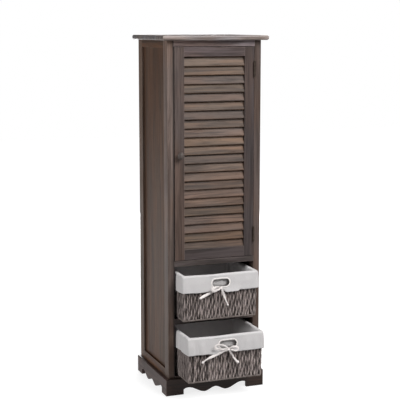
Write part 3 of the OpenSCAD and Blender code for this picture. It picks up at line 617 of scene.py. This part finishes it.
def woven_cloth(name, tone, thread=0.0008, gap=0.9118):
    """Plain woven cotton: two crossing sets of threads from the piece's own UV, in metres.

    thread is a thread's pitch, and gap is the share of tone left between threads. Slubs thicken
    the threads, and the dye is a little uneven.
    """
    made, tree, shader = finish_start(name, Roughness=0.92, Sheen_Weight=0.25,
                                      Sheen_Roughness=0.5, Specular_IOR_Level=0.15)
    across, down, _ = uv_parts(tree)
    turn = math.pi / thread
    warp, weft = (maths(tree, "ABSOLUTE", maths(tree, "SINE", times(tree, way, turn)))
                  for way in (across, down))
    threads = times(tree, warp, weft)
    spot = shape_place(tree)
    base = between(tree, times(tree, threads, THREAD_PART), shaded(tone, gap), shaded(tone, 1))
    uneven = times(tree, shows(tree, noise(tree, spot, "dye"), "dye"), DYE_PART)
    give_colour(tree, shader, between(tree, uneven, base, shaded(tone, DYE)))
    slub = times(tree, noise(tree, spot, "slub"), SLUB_HEIGHT)
    give_relief(tree, shader, plus(tree, threads, slub), "cloth")
    return made


FIBRES, ROPE_LAY = 3, 0.004
ROPE_PATCH, ROPE_DARK, ROPE_LIGHT = (90, 90, 64), [0.72, 0.70, 0.68], 1.28
LINE, LINE_PART, FLECK, FLECK_PART, FLECK_HEIGHT = 0.42, 0.3, 1.9, 0.5, 0.6
PAINTED_ROPE_SHADE, SIDE_SHADE_PART = 0.08, 0.3


def paper_rope(name, tone, crown=False):
    """Twisted paper cord: slanting fibre lines from the piece's UV (turn, metres), FIBRES of them
    round a cord and one to ROPE_LAY along it, flecks, and slow changes of shade.

    With crown, the hollows between the piece's crowns get a painted shade, and so do the
    basket's two sides, over part of their colour.
    """
    made, tree, shader = finish_start(name, Roughness=0.85, Sheen_Weight=0.08,
                                      Specular_IOR_Level=0.15)
    turn, run, _ = uv_parts(tree)
    slant = plus(tree, times(tree, turn, FIBRES * 2 * math.pi),
                 times(tree, run, 2 * math.pi / ROPE_LAY))
    lines = plus(tree, times(tree, maths(tree, "SINE", slant), 0.5), 0.5)
    spot = shape_place(tree)
    fleck = noise(tree, spot, "fleck", rough=0.7)
    patch = add(tree, "TexNoise", Vector=add(tree, "Mapping", Vector=spot, Scale=ROPE_PATCH),
                Scale=1.0, Detail=3.0)
    base = between(tree, shows(tree, patch, "patch"), shaded(tone, ROPE_DARK),
                   shaded(tone, ROPE_LIGHT))
    base = between(tree, times(tree, lines, LINE_PART), base, shaded(tone, LINE))
    base = between(tree, times(tree, shows(tree, fleck, "fleck"), FLECK_PART), base,
                   shaded(tone, FLECK))
    if crown:
        # Painted shade: dark in the hollows between the cords.
        height = add(tree, "Attribute", 2, {"attribute_name": "crown"})
        base = between(tree, shows(tree, height, "crown"), shaded(tone, PAINTED_ROPE_SHADE), base)
        # Painted shade: the basket's two sides keep only part of their colour over a dark tone.
        beside = shows(tree, maths(tree, "ABSOLUTE", parts_of(tree, spot)[X]), "side")
        base = between(tree, times(tree, beside, SIDE_SHADE_PART), base, shaded(tone, PAINTED_ROPE_SHADE))
    give_colour(tree, shader, base)
    give_relief(tree, shader, minus(tree, times(tree, fleck, FLECK_HEIGHT), lines), "rope")
    return made


TAPE_CLOTH = woven_cloth("tape_cloth", colour(240, 233, 230))

for which, parts in TAPES.items():
    for part in parts:
        add_tape(which, part, TAPE_CLOTH)
    add_tie_knot(which, TAPE_CLOTH)

# ---- Woven baskets ----

CORD_PITCH = 0.0062
CORD_ACROSS, CORD_OUT = 0.0031, 0.0028
CORD_STEPS, CORD_SIDES = 60, 9
CORD_IN, CORD_TOP, HOLE_CLEAR, FRONT_Y = 0.0004, 0.003, 0.004, 0.02
CORD_LAY = 0.011
ROW_H, ROW_AT = 0.0213, 0.006
TURN_R = FOOT_R - 0.003
STEP_BACK = 0.0029
# How unevenly the cords run: their wave, their place sideways, the gaps between them and the rest
BEAT_SPREAD, PHASE_SPREAD, SWING_LEAST, SET_SPREAD = 0.05, 0.4, 0.5, 0.36
SWAY, SWAY_AHEAD, LEAN_SPREAD, LEAN_PIVOT, STRAY = 0.06, 0.6, 0.20, 0.4, 0.06
GAP_MEAN, GAP_WIDE, GAP_CHANCE, GAP_REACH, GAP_TOP, GAP_FOOT = 0.12, 0.75, 0.13, 1.3, 0.027, 0.004
DEPTH_SPREAD, SIZE_SPREAD = 0.00025, 0.07
CROWN_FROM, CROWN_SPAN = 0.0054, 0.0048
EDGE_R, EDGE_LAY, EDGE_STEPS, EDGE_SIDES = 0.0033, 0.0078, 480, 10
EDGE_Z, EDGE_DEPTH = 0.0042, 0.0054
INNER_DEPTH, RIB_H, RIB_LAY, SKIN_T = 0.0068, 0.0009, 0.0032, 0.0016
# The inner wall's foot: height, depth from the weave's face and share of its ribs
INNER_FOOT = [(0.008, 0.0085, 0.6), (0.0045, 0.013, 0.4), (0.003, 0.02, 0.2)]
ROPE = paper_rope("paper_rope", colour(171, 158, 154), crown=True)
EDGE_ROPE = paper_rope("paper_rope_edge", colour(118, 109, 105))
# The inner wall's rope has a much darker tone than the outer cords: painted shade in the gaps
# between them.
ROPE_BACK_SHADE = paper_rope("paper_rope_inner_shade", colour(64, 55, 50))


def bounded(share):
    """Shares kept from 0 to 1."""
    return np.clip(share, 0, 1)


def thicken(thing, thickness, offset):
    """Makes a skin thick: inwards from its faces with offset -1, to both sides with 0."""
    shell = thing.modifiers.new("thick", "SOLIDIFY")
    shell.thickness, shell.offset = thickness, offset


def cord_count():
    """Number of upright cords round a basket, an even one."""
    return 2 * round(way_round().sum() / CORD_PITCH / 2)


def add_weave(which, rope):
    """Upright cords all round a basket, woven over hidden rows of wire and cord.

    With f = (-1)^i cos(pi (z - ROW_AT) / ROW_H), a little off in beat, phase and swing in each
    cord, cord i passes before a row where f is 1 and behind it where f is -1: it stands
    STEP_BACK (1 - f) / 2 further in, and at share (i + 0.5 + sway) / n of the way round. sway is
    SWAY times the same wave, SWAY_AHEAD further on, and the cord's own lean and stray. Near the
    foot a gap g between two cords pushes each cord that is d cords from it sideways by
    g e^(-d / GAP_REACH). At the foot a cord turns under on a quarter circle, and the cords below
    the handle hole end there. crown is 1 on the outermost stretches and 0 in the hollows.
    """
    rng = np.random.default_rng(11 if which == "upper" else 12)
    n = cord_count()

    def spread(amount):
        return rng.normal(0, amount, (n, 1))

    i = np.arange(n)[:, None]
    sign = 1 - 2 * (i % 2)
    middle = wall_point((i + 0.5) / n, 0.1, 0)
    held = np.abs(middle[..., 0] - HOLE_X[which]) < HOLE_W / 2 + HOLE_CLEAR
    held = held & (middle[..., 1] < FRONT_Y)
    top = np.where(held, HOLE_Z - HOLE_H / 2 - HOLE_CLEAR, WEAVE_H - CORD_TOP)
    level = TURN_R + CORD_OUT
    drop = top - np.linspace(0, 1, CORD_STEPS) * (top - level + TURN_R * np.pi / 2)
    bend = np.clip((level - drop) / TURN_R, 0, np.pi / 2)
    z = np.where(bend > 0, level - TURN_R * np.sin(bend), drop)
    tuck = TURN_R * (1 - np.cos(bend))

    wave = np.pi * (z - ROW_AT) / ROW_H * (1 + spread(BEAT_SPREAD)) + spread(PHASE_SPREAD)
    f = sign * np.cos(wave) * rng.uniform(SWING_LEAST, 1, (n, 1)) + spread(SET_SPREAD)
    f = np.clip(f, -1, 1)
    from_gap = i - i.T - 0.5
    gaps = rng.exponential(GAP_MEAN, (n, 1)) + GAP_WIDE * (rng.random((n, 1)) < GAP_CHANCE)
    pushed = (np.sign(from_gap) * np.exp(-np.abs(from_gap) / GAP_REACH)) @ gaps
    low = bounded(1 - z / GAP_TOP) * bounded(z / GAP_FOOT)
    lean = spread(LEAN_SPREAD) * (z / WEAVE_H - LEAN_PIVOT)
    sway = SWAY * sign * np.sin(wave + SWAY_AHEAD) + lean + spread(STRAY) + pushed * low
    depth = CORD_OUT + CORD_IN + tuck + STEP_BACK * (1 - f) / 2 + spread(DEPTH_SPREAD)

    path = wall_point((i + 0.5 + sway) / n, z, depth)
    _, _, angle = plan((i + 0.5 + sway) / n)
    side = np.stack([-np.sin(angle), np.cos(angle), 0 * angle], -1)
    run = np.cumsum(np.linalg.norm(np.diff(path, axis=1, prepend=path[:, :1]), axis=-1), 1)
    size = (1 + spread(SIZE_SPREAD))[..., None]
    phase = rng.uniform(0, 3, (n, 1, 1))
    across, inwards = twist_section(run, size, CORD_LAY, CORD_SIDES, phase)
    across, inwards = CORD_ACROSS * across, CORD_OUT * inwards
    cords = swept(f"weave_{which}", basket_place(path, which), side, across, inwards)
    proud = -(depth - tuck)[..., None] - inwards
    # crown feeds the rope's painted shade in the hollows between the cords.
    set_point_numbers(cords, "crown", bounded((proud + CROWN_FROM) / CROWN_SPAN))
    cords.data.materials.append(rope)
    return cords


def add_edge_rope(which, rope):
    """Two-strand rope lying round the basket's lower edge."""
    share = np.arange(EDGE_STEPS) / EDGE_STEPS
    path = wall_point(share, EDGE_Z, EDGE_DEPTH)
    run = share * way_round().sum()
    across, out = twist_section(run, EDGE_R, EDGE_LAY, EDGE_SIDES)
    edge = swept(f"edge_rope_{which}", basket_place(path, which)[None], [0, 0, 1],
                 across[None], out[None], closed=True)
    edge.data.materials.append(rope)
    return edge


def add_inner_wall(which, rope):
    """The weave's inner layer: a ribbed wall of cords behind the outer ones, and the base.

    It is a closed skin SKIN_T thick. The wall's depth is INNER_DEPTH - RIB_H |sin|, with one rib
    to each cord.
    """
    n = cord_count()
    columns = 4 * n
    share = np.arange(columns) / columns
    rib = RIB_H * np.abs(np.sin(np.pi * share * n))
    wall = [(z, INNER_DEPTH, 1) for z in np.linspace(WEAVE_H - 0.005, 0.013, 41)]
    base = [(0.003, depth, 0) for depth in np.linspace(0.03, 0.118, 12)]
    z, depth, ribbed = np.array(wall + INNER_FOOT + base).T[:, :, None]
    points = wall_point(share[None], z, depth - ribbed * rib[None])
    corner, place = grid_quads(1, len(z), columns, False, True)
    uv = place * [n / columns, RIB_LAY]
    centre = points.reshape(-1, 3)[corner].mean(1)
    hole_x = np.abs(centre[:, 0] - HOLE_X[which])
    kept = ~((hole_x < HOLE_W / 2 + 0.002) & (np.abs(centre[:, 2] - HOLE_Z) < HOLE_H / 2 + 0.002)
             & (centre[:, 1] < FRONT_Y))
    faces = corner[kept].tolist() + [list(range((len(z) - 1) * columns, len(z) * columns))]
    uv = np.concatenate([uv[kept].reshape(-1, 2), np.zeros((columns, 2))])
    inner = new_mesh(f"weave_inner_{which}", basket_place(points, which), faces, uv)
    inner.data.materials.append(rope)
    thicken(inner, SKIN_T, -1)
    return inner


# ---- Liners ----

CUFF_Z, BAG_DEPTH = 0.098, 0.0118
# Where a hem hangs lower beside its knot: from, to, both from the knot, and by how much
HEM_DIPS = {"upper": (0.010, 0.070, 0.0045), "lower": (-0.066, -0.018, 0.0018)}
CUFF_FRONT, CLOTH_T = 0.012, 0.0011
LINER_STEPS, ROW_STEP, HOLE_PULL = (62, 9, 84), 0.004, 0.0014
# Heights and distances from which cloth is free to move, and over how much it comes free
RIM_HOLD, BAG_EASE, FLOOR_EASE, CUFF_EASE = 0.150, 0.06, 0.03, 0.05
HEM_HOLD, HEM_EASE, HANG_START, HANG_STOP = 0.122, 0.024, 0.012, 0.010
HOLE_HOLD, HOLE_EASE, BOW_HOLD, BOW_EASE = 0.005, 0.014, 0.038, 0.03
BACK_HOLD, BACK_EASE = 0.225, 0.03
BAG_FOLD, BAG_BULGE, BULGE_W, BULGE_H = 0.0012, 0.006, 0.034, 0.0165
CUFF_FOLD, CUFF_SLACK, FOLD_HOLD, FOLD_EASE = 0.0010, 1.4, 0.1495, 0.022
CORNER_CREASE, CREASE_TURN = 0.0009, 0.15
KNOT_FOLD, KNOT_FOLDS, FOLD_REACH, FOLD_START = 0.0009, 9, 0.022, 0.007
HEM_LIFT, HEM_LIFT_W, HEM_CURL, HEM_WAVE = 0.0050, 0.014, 0.0040, 0.0009
RIM_SAG, RIM_DIP, RIM_DIP_X, RIM_DIP_W = 0.0007, 0.0016, -0.035, 0.045


def hole_distance(x, z, which):
    """Distance of (x, z) from the line of the handle hole: HOLE_H / 2 is its edge."""
    reach = HOLE_W / 2 - HOLE_H / 2
    over = np.maximum(np.abs(x - HOLE_X[which]) - reach, 0)
    return np.hypot(over, z - HOLE_Z)


def creases(share, z, rng, count, low, high):
    """Sum of count slow waves in the cloth, each with its own slant and phase and from low to
    high of them to the way round, over the root of count.
    """
    total = 0
    for _ in range(count):
        turns = rng.integers(low, high) * share
        total = total + np.sin(2 * np.pi * turns + rng.uniform(-40, 40) * z + rng.uniform(0, 6.3))
    return total / math.sqrt(count)


def liner_profile():
    """The liner cut through: rows of height, depth from the weave's face, 1 inside to 0 outside,
    and part: 0 floor, 1 wall, 2 roll over the rim, 3 cuff, 4 hem turned in.
    """
    floor = [(0.0128, d, 1, 0) for d in (0.118, 0.1, 0.08, 0.06, 0.045, 0.034, 0.026)]
    wall = [(z, BAG_DEPTH + (0.022 - z), 1, 1) for z in np.linspace(0.0135, 0.022, 4)]
    wall += [(z, BAG_DEPTH, 1, 1) for z in np.linspace(0.027, 0.144, 34)]
    turn = [(0.1505 + 0.0058 * math.sin(a), 0.0042 + 0.0066 * math.cos(a), 1 - a / math.pi, 2)
            for a in np.linspace(0.1, math.pi - 0.05, 9)]
    cuff = [(z, -0.0023, 0, 3) for z in np.linspace(0.1485, CUFF_Z + 0.0015, 27)]
    hem = [(CUFF_Z + up, depth, 0, 4) for up, depth in
           ((0.0004, -0.0017), (0.0001, -0.0006), (0.0010, 0.0002), (0.0050, 0.0005),
            (0.0090, 0.0006))]
    return np.array(floor + wall + turn + cuff + hem).T[:, :, None]


def liner_surface(which, share):
    """The liner's points at shares of the way round, in rows (m, n, 3), and which lie outside.

    liner_profile is carried round the plan. Slow creases move the bag's wall inwards by BAG_FOLD
    (sum of waves + 1) and, clear of the hole, the bow and the back panel, the cuff outwards by
    CUFF_FOLD (sum + CUFF_SLACK). Each corner of the cuff has a pressed crease. Folds
    KNOT_FOLD e^(-d / FOLD_REACH) cos(KNOT_FOLDS angle) run out from the knot, d away. The
    bag's wall comes BAG_BULGE forward in the handle hole. At the knot the hem is drawn up by
    HEM_LIFT, and beside it the hem hangs lower and curls outwards by HEM_CURL (way down)^2.
    """
    rng = np.random.default_rng(21 if which == "upper" else 22)
    z, depth, inside, part = liner_profile()
    cuff = part >= 3
    flat_x, flat_y, _ = np.moveaxis(wall_point(share, z, depth, 0.0), -1, 0)
    in_front = flat_y < CUFF_FRONT
    x = flat_x - KNOT_X[which]
    d = np.hypot(x, z - KNOT_Z)
    slack = bounded((RIM_HOLD - z) / BAG_EASE) * bounded(z / FLOOR_EASE) * (part <= 1)
    free = bounded((RIM_HOLD - z) / CUFF_EASE) * cuff
    low = bounded((HEM_HOLD - z) / HEM_EASE) * cuff

    _, _, angle = plan(share)
    turned = np.mod(angle / (np.pi / 2), 1)
    crease = np.exp(-((turned - 0.5) / CREASE_TURN) ** 2) * (turned > 0.02) * (turned < 0.98)
    fold = KNOT_FOLD * np.exp(-d / FOLD_REACH) * np.cos(KNOT_FOLDS * np.arctan2(z - KNOT_Z, x))
    fold = fold * (1 - np.exp(-d / FOLD_START))
    in_hole = np.exp(-((flat_x - HOLE_X[which]) / BULGE_W) ** 4 - ((z - HOLE_Z) / BULGE_H) ** 4)
    in_hole = in_hole * (part == 1) * (flat_y < FRONT_Y)

    start, stop, dip = HEM_DIPS[which]
    hang = bounded((x - start) / HANG_START) * bounded((stop - x) / HANG_STOP)
    draw = np.exp(-(x / HEM_LIFT_W) ** 2)
    sag = RIM_DIP * in_front * np.exp(-((flat_x - RIM_DIP_X) / RIM_DIP_W) ** 2)
    z = z + low * in_front * (HEM_LIFT * draw - dip * hang * (1 - draw))
    z = z + HEM_WAVE * free * creases(share, 0 * z, rng, 4, 3, 12)
    z = z - (part == 2) * (RIM_SAG + sag)

    bag_folds = creases(share, z, rng, 5, 3, 17) + 1
    depth = depth + BAG_FOLD * slack * bag_folds * (1 - in_hole) - BAG_BULGE * in_hole
    off_hole = hole_distance(flat_x, z, which) - HOLE_H / 2 - HOLE_HOLD
    off_bow = bounded((d - BOW_HOLD) / BOW_EASE)
    clear = np.where(in_front, bounded(off_hole / HOLE_EASE) * off_bow,
                     bounded((BACK_HOLD - flat_y) / BACK_EASE))
    cuff_folds = np.maximum(creases(share, z, rng, 5, 12, 34) + CUFF_SLACK, 0)
    depth = depth - CUFF_FOLD * bounded((FOLD_HOLD - z) / FOLD_EASE) * cuff * clear * cuff_folds
    depth = depth - CORNER_CREASE * crease * cuff + free * in_front * fold
    depth = depth - HEM_CURL * low ** 2 * in_front * hang
    corner_r = CORNER_R + (BAG_CORNER_R - CORNER_R) * inside
    points = wall_point(share, z, depth, LEAN * inside, corner_r)
    return points, np.broadcast_to(cuff, points.shape[:2])


def open_hole(points, corner, outer, which):
    """Cuts the handle hole out of the cuff: its points, with those near the hole's line pulled
    onto it, and which quads stay.
    """
    cuff = outer & (points[:, 1] < CUFF_FRONT)
    centre = points[corner].mean(1)
    cut = (outer[corner].all(1) & (centre[:, 1] < CUFF_FRONT)
           & (hole_distance(centre[:, 0], centre[:, 2], which) < HOLE_H / 2))
    gap = hole_distance(points[:, 0], points[:, 2], which)
    near = cuff & (np.abs(gap - HOLE_H / 2) < HOLE_PULL)
    reach = (HOLE_W - HOLE_H) / 2
    middle_x = HOLE_X[which] + np.clip(points[:, 0] - HOLE_X[which], -reach, reach)
    away = np.stack([points[:, 0] - middle_x, 0 * gap, points[:, 2] - HOLE_Z], -1)
    away = away / np.maximum(gap, 1e-9)[:, None]
    middle = np.stack([middle_x, points[:, 1], np.full(len(gap), HOLE_Z)], -1)
    return np.where(near[:, None], middle + away * HOLE_H / 2, points), ~cut


def add_liner(which, cloth):
    """The liner as one sheet: bag, roll over the rim and cuff. One face closes its floor."""
    share = round_steps(*LINER_STEPS)[None]
    points, outer = liner_surface(which, share)
    rows, columns = points.shape[:2]
    corner, place = grid_quads(1, rows, columns, False, True)
    points, stays = open_hole(points.reshape(-1, 3), corner, outer.reshape(-1), which)
    way = np.append(share[0], 1)[place[..., 0]] * way_round().sum()
    uv = np.stack([way, ROW_STEP * place[..., 1]], -1)
    faces = corner[stays].tolist() + [list(range(columns))[::-1]]
    uv = np.concatenate([uv[stays].reshape(-1, 2), np.zeros((columns, 2))])
    liner = new_mesh(f"liner_cloth_{which}", basket_place(points, which), faces, uv)
    liner.data.materials.append(cloth)
    thicken(liner, CLOTH_T, 0)
    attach(liner, f"basket_{which}")
    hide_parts(f"liner_{which}")


BINDING_OUT, BINDING_ACROSS, BINDING_STEPS, BINDING_SIDES = 0.0009, 0.0024, 240, 12
BINDING_R, BINDING_Y = HOLE_H / 2 + 0.0013, 0.0002
STITCH, STITCH_DRAW = 0.0034, 0.1


def add_hole_binding(which, cloth):
    """Band sewn round the handle hole: 5 mm wide, 1.8 mm thick, along a stadium round the opening.

    Its section is (BINDING_OUT cos a, BINDING_ACROSS sin a), drawn in by STITCH_DRAW at each
    stitch.
    """
    reach, r = (HOLE_W - HOLE_H) / 2, BINDING_R
    straight, bend = 2 * reach, np.pi * r
    at = np.arange(BINDING_STEPS) / BINDING_STEPS * 2 * (straight + bend)
    ends = np.cumsum([0, straight / 2, bend, straight, bend, straight / 2])
    angle = np.interp(at, ends, np.radians([-90, -90, 90, 90, 270, 270]))
    cx = np.interp(at, ends, [0, reach, reach, -reach, -reach, 0])
    path = np.stack([HOLE_X[which] + cx + r * np.cos(angle), np.full(BINDING_STEPS, BINDING_Y),
                     HOLE_Z + r * np.sin(angle)], -1)
    a = np.linspace(0, 2 * np.pi, BINDING_SIDES, endpoint=False)
    drawn = (1 - STITCH_DRAW * (np.cos(2 * np.pi * at / STITCH) > 0.5))[:, None]
    across, out = BINDING_OUT * drawn * np.cos(a), BINDING_ACROSS * drawn * np.sin(a)
    binding = swept(f"hole_binding_{which}", basket_place(path, which)[None], [0, 1, 0],
                    across[None], out[None], closed=True)
    binding.data.materials.append(cloth)
    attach(binding, f"basket_{which}")


LINER_CLOTH = woven_cloth("liner_cloth", colour(214, 211, 211), thread=0.0009, gap=0.846)
BINDING_CLOTH = woven_cloth("binding_cloth", colour(240, 235, 232))

for which in BASKETS:
    for piece in (add_weave(which, ROPE), add_edge_rope(which, EDGE_ROPE),
                  add_inner_wall(which, ROPE_BACK_SHADE)):
        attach(piece, f"basket_{which}")
        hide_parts(f"woven_basket_{which}")
    add_liner(which, LINER_CLOTH)
    add_hole_binding(which, BINDING_CLOTH)

# ---- Finishes of the tower's own solids ----

SILL = (71, 62, 59)
DOOR = (61, 52, 50)
PANEL = (69, 48, 33)
INNER = (66, 56, 50)

# The slats' lean from upright, the height of the lowest, their pitch and the y of their middle
SLATS = (math.radians(17.5), 0.486, 0.02855, TOWER_Y + 0.0088)
EVEN_ALONG, EVEN_UPRIGHT = 0.1, 0.15

# Each wood's colour on screen, its grain's axis and its solids. A solid's place is its seed
WOODS = [
    # The top board's tone is lighter than the other wood, partly a painted highlight on its
    # rounded front edge.
    ((136, 130, 129), X, "top_panel"),
    # The rail under the top board has a lighter tone: painted light over the shadow the top board
    # casts on it.
    ((122, 109, 108), X, "front_top_rail"),
    (SILL, X, "door_sill_rail"),
    ((102, 87, 79), Z, "post_front_left"),
    ((77, 64, 58), Z, "post_front_right"),
    ((85, 71, 62), Z, "post_rear_left post_rear_right"),
    (INNER, X, "rear_top_rail rear_bottom_rail"),
    (PANEL, Y, "side_top_rail_left side_top_rail_right"),
    (PANEL, Y, "side_bottom_rail_left side_bottom_rail_right"),
    (PANEL, Z, "side_panel_left side_panel_right"),
    (INNER, Z, "back_panel"),
    (INNER, X, "cupboard_floor"),
    (SILL, X, "basket_shelf base_panel"),
    (INNER, X, "inner_shelf_upper inner_shelf_lower"),
    ((196, 164, 128), X, "dowels"),
    ((42, 29, 23), X, "plinth_front"),
    ((69, 54, 49), Y, "plinth_left plinth_right"),
    (DOOR, Z, "door_stile_hinge"),
    ((79, 67, 62), Z, "door_stile_latch"),
    ((79, 67, 65), X, "door_rail_top"),
    (DOOR, X, "door_rail_bottom"),
    ((75, 66, 61), Z, "knob"),
    ((86, 70, 58), X, "door_slats"),
]
BRONZE = steel("dark_bronze", colour(70, 61, 54), 0.55)
ZINC = steel("zinc_plate", colour(176, 176, 176), 0.4)
WIRE = steel("drawn_wire", colour(140, 140, 140), 0.45)
CATCH = plastic("catch_plastic", colour(206, 200, 190))


def dress(node, finish):
    """Puts one finish on every slot of a solid."""
    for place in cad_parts[node].material_slots:
        place.material = finish


# Faces looking along an axis take a dark tone: on the top board's end grain more staining, on the
# door stiles' side faces painted shade for the gaps beside them.
STAIN_AND_GAP_SHADE = {"top_panel": (X, 0.46), "door_stile_hinge": (X, 0.35), "door_stile_latch": (X, 0.35)}
# Painted shade on the front left post: a shadow line along its edge at the door gap, and shade
# over its lower part beside the baskets, full below 0.4 m and gone by 0.7 m.
PAINTED_SHADE = {"post_front_left": [(X, -0.140, 0.005, 0.85), (Z, 0.1, 0.6, 0.42)]}
wooden = [(node, tone, along) for tone, along, nodes in WOODS for node in nodes.split()]
for seed, (node, tone, along) in enumerate(wooden, 1):
    dress(node, wood(f"{node}_wood", colour(*tone), along, seed,
                     even=EVEN_UPRIGHT if along == Z else EVEN_ALONG,
                     slats=SLATS if node == "door_slats" else None,
                     stained=STAIN_AND_GAP_SHADE.get(node), painted_shade=PAINTED_SHADE.get(node, ())))
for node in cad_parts:
    if node.startswith("hinge_"):
        dress(node, BRONZE)
    elif node.startswith("wire_"):
        dress(node, WIRE)
    elif node in ("knob_screw", "strike_plate", "shelf_pins", "catch_magnet"):
        dress(node, ZINC)
dress("catch_body", CATCH)

# ---- Floor, backdrop and light ----

FLOOR_HALF = 8.0
FLOOR_GREY = (0.3, 0.3, 0.3, 1)
GLOW_NEAR, GLOW_FROM, GLOW_TO = 0.8, 0.4, 1.6
SKY = 0.06
WHITE = (1, 1, 1, 1)
LAMP_AIM = (0, 0, 0.6)
# Each lamp's place, the side of its square and its watts
LAMPS = {"key": ((1.5, -2.7, 3.5), 2.4, 233), "fill": ((-3.1, -0.6, 1.3), 1.1, 57),
         "behind": ((0.7, 3.4, 0.75), 1.4, 110)}


def add_floor():
    """Wide floor that reflects little onto the tower.

    To the camera it glows, by GLOW_NEAR near the tower, where the tower's shadow shows, and by 1
    from GLOW_TO metres away, so that it runs into white.
    """
    points = FLOOR_HALF * np.array([[-1, -1, 0], [1, -1, 0], [1, 1, 0], [-1, 1, 0]])
    floor = new_mesh("floor", points, [[0, 1, 2, 3]])
    made, tree, shader = finish_start("floor_paint", Roughness=0.9, Base_Color=FLOOR_GREY)
    ray = tree.nodes.new("ShaderNodeLightPath").outputs
    mirrored = maths(tree, "MAXIMUM", ray["Is Glossy Ray"], ray["Is Transmission Ray"])
    seen = maths(tree, "MAXIMUM", ray["Is Camera Ray"], mirrored)
    away = add(tree, "VectorMath", 1, {"operation": "LENGTH"}, n0=shape_place(tree))
    level = plus(tree, times(tree, ramp(tree, away, GLOW_FROM, GLOW_TO), 1 - GLOW_NEAR), GLOW_NEAR)
    glow = add(tree, "Emission", Color=WHITE, Strength=times(tree, seen, level))
    both = add(tree, "AddShader", n0=shader.outputs[0], n1=glow)
    tree.links.new(both, tree.nodes["Material Output"].inputs["Surface"])
    floor.data.materials.append(made)


def add_world():
    """Even white surroundings: 1 to the camera and through glass, and SKY as light."""
    world = bpy.data.worlds.new("studio")
    world.use_nodes = True
    scene.world = world
    tree = world.node_tree
    ray = tree.nodes.new("ShaderNodeLightPath").outputs
    seen = maths(tree, "MAXIMUM", ray["Is Camera Ray"], ray["Is Transmission Ray"])
    shade = tree.nodes["Background"]
    shade.inputs["Color"].default_value = WHITE
    tree.links.new(plus(tree, times(tree, seen, 1 - SKY), SKY), shade.inputs["Strength"])


def add_lamp(name, at, size, watts):
    """Square soft lamp at a place, looking at LAMP_AIM."""
    data = bpy.data.lights.new(name, "AREA")
    data.size, data.energy = size, watts
    lamp = bpy.data.objects.new(name, data)
    lamp.location = at
    x, y, z = np.subtract(LAMP_AIM, at)
    lamp.rotation_euler = (math.atan2(np.hypot(x, y), -z), 0, math.atan2(y, x) - math.pi / 2)
    scene.collection.objects.link(lamp)


add_floor()
add_world()
for name, lamp in LAMPS.items():
    add_lamp(name, *lamp)

scene.view_settings.view_transform = "Standard"
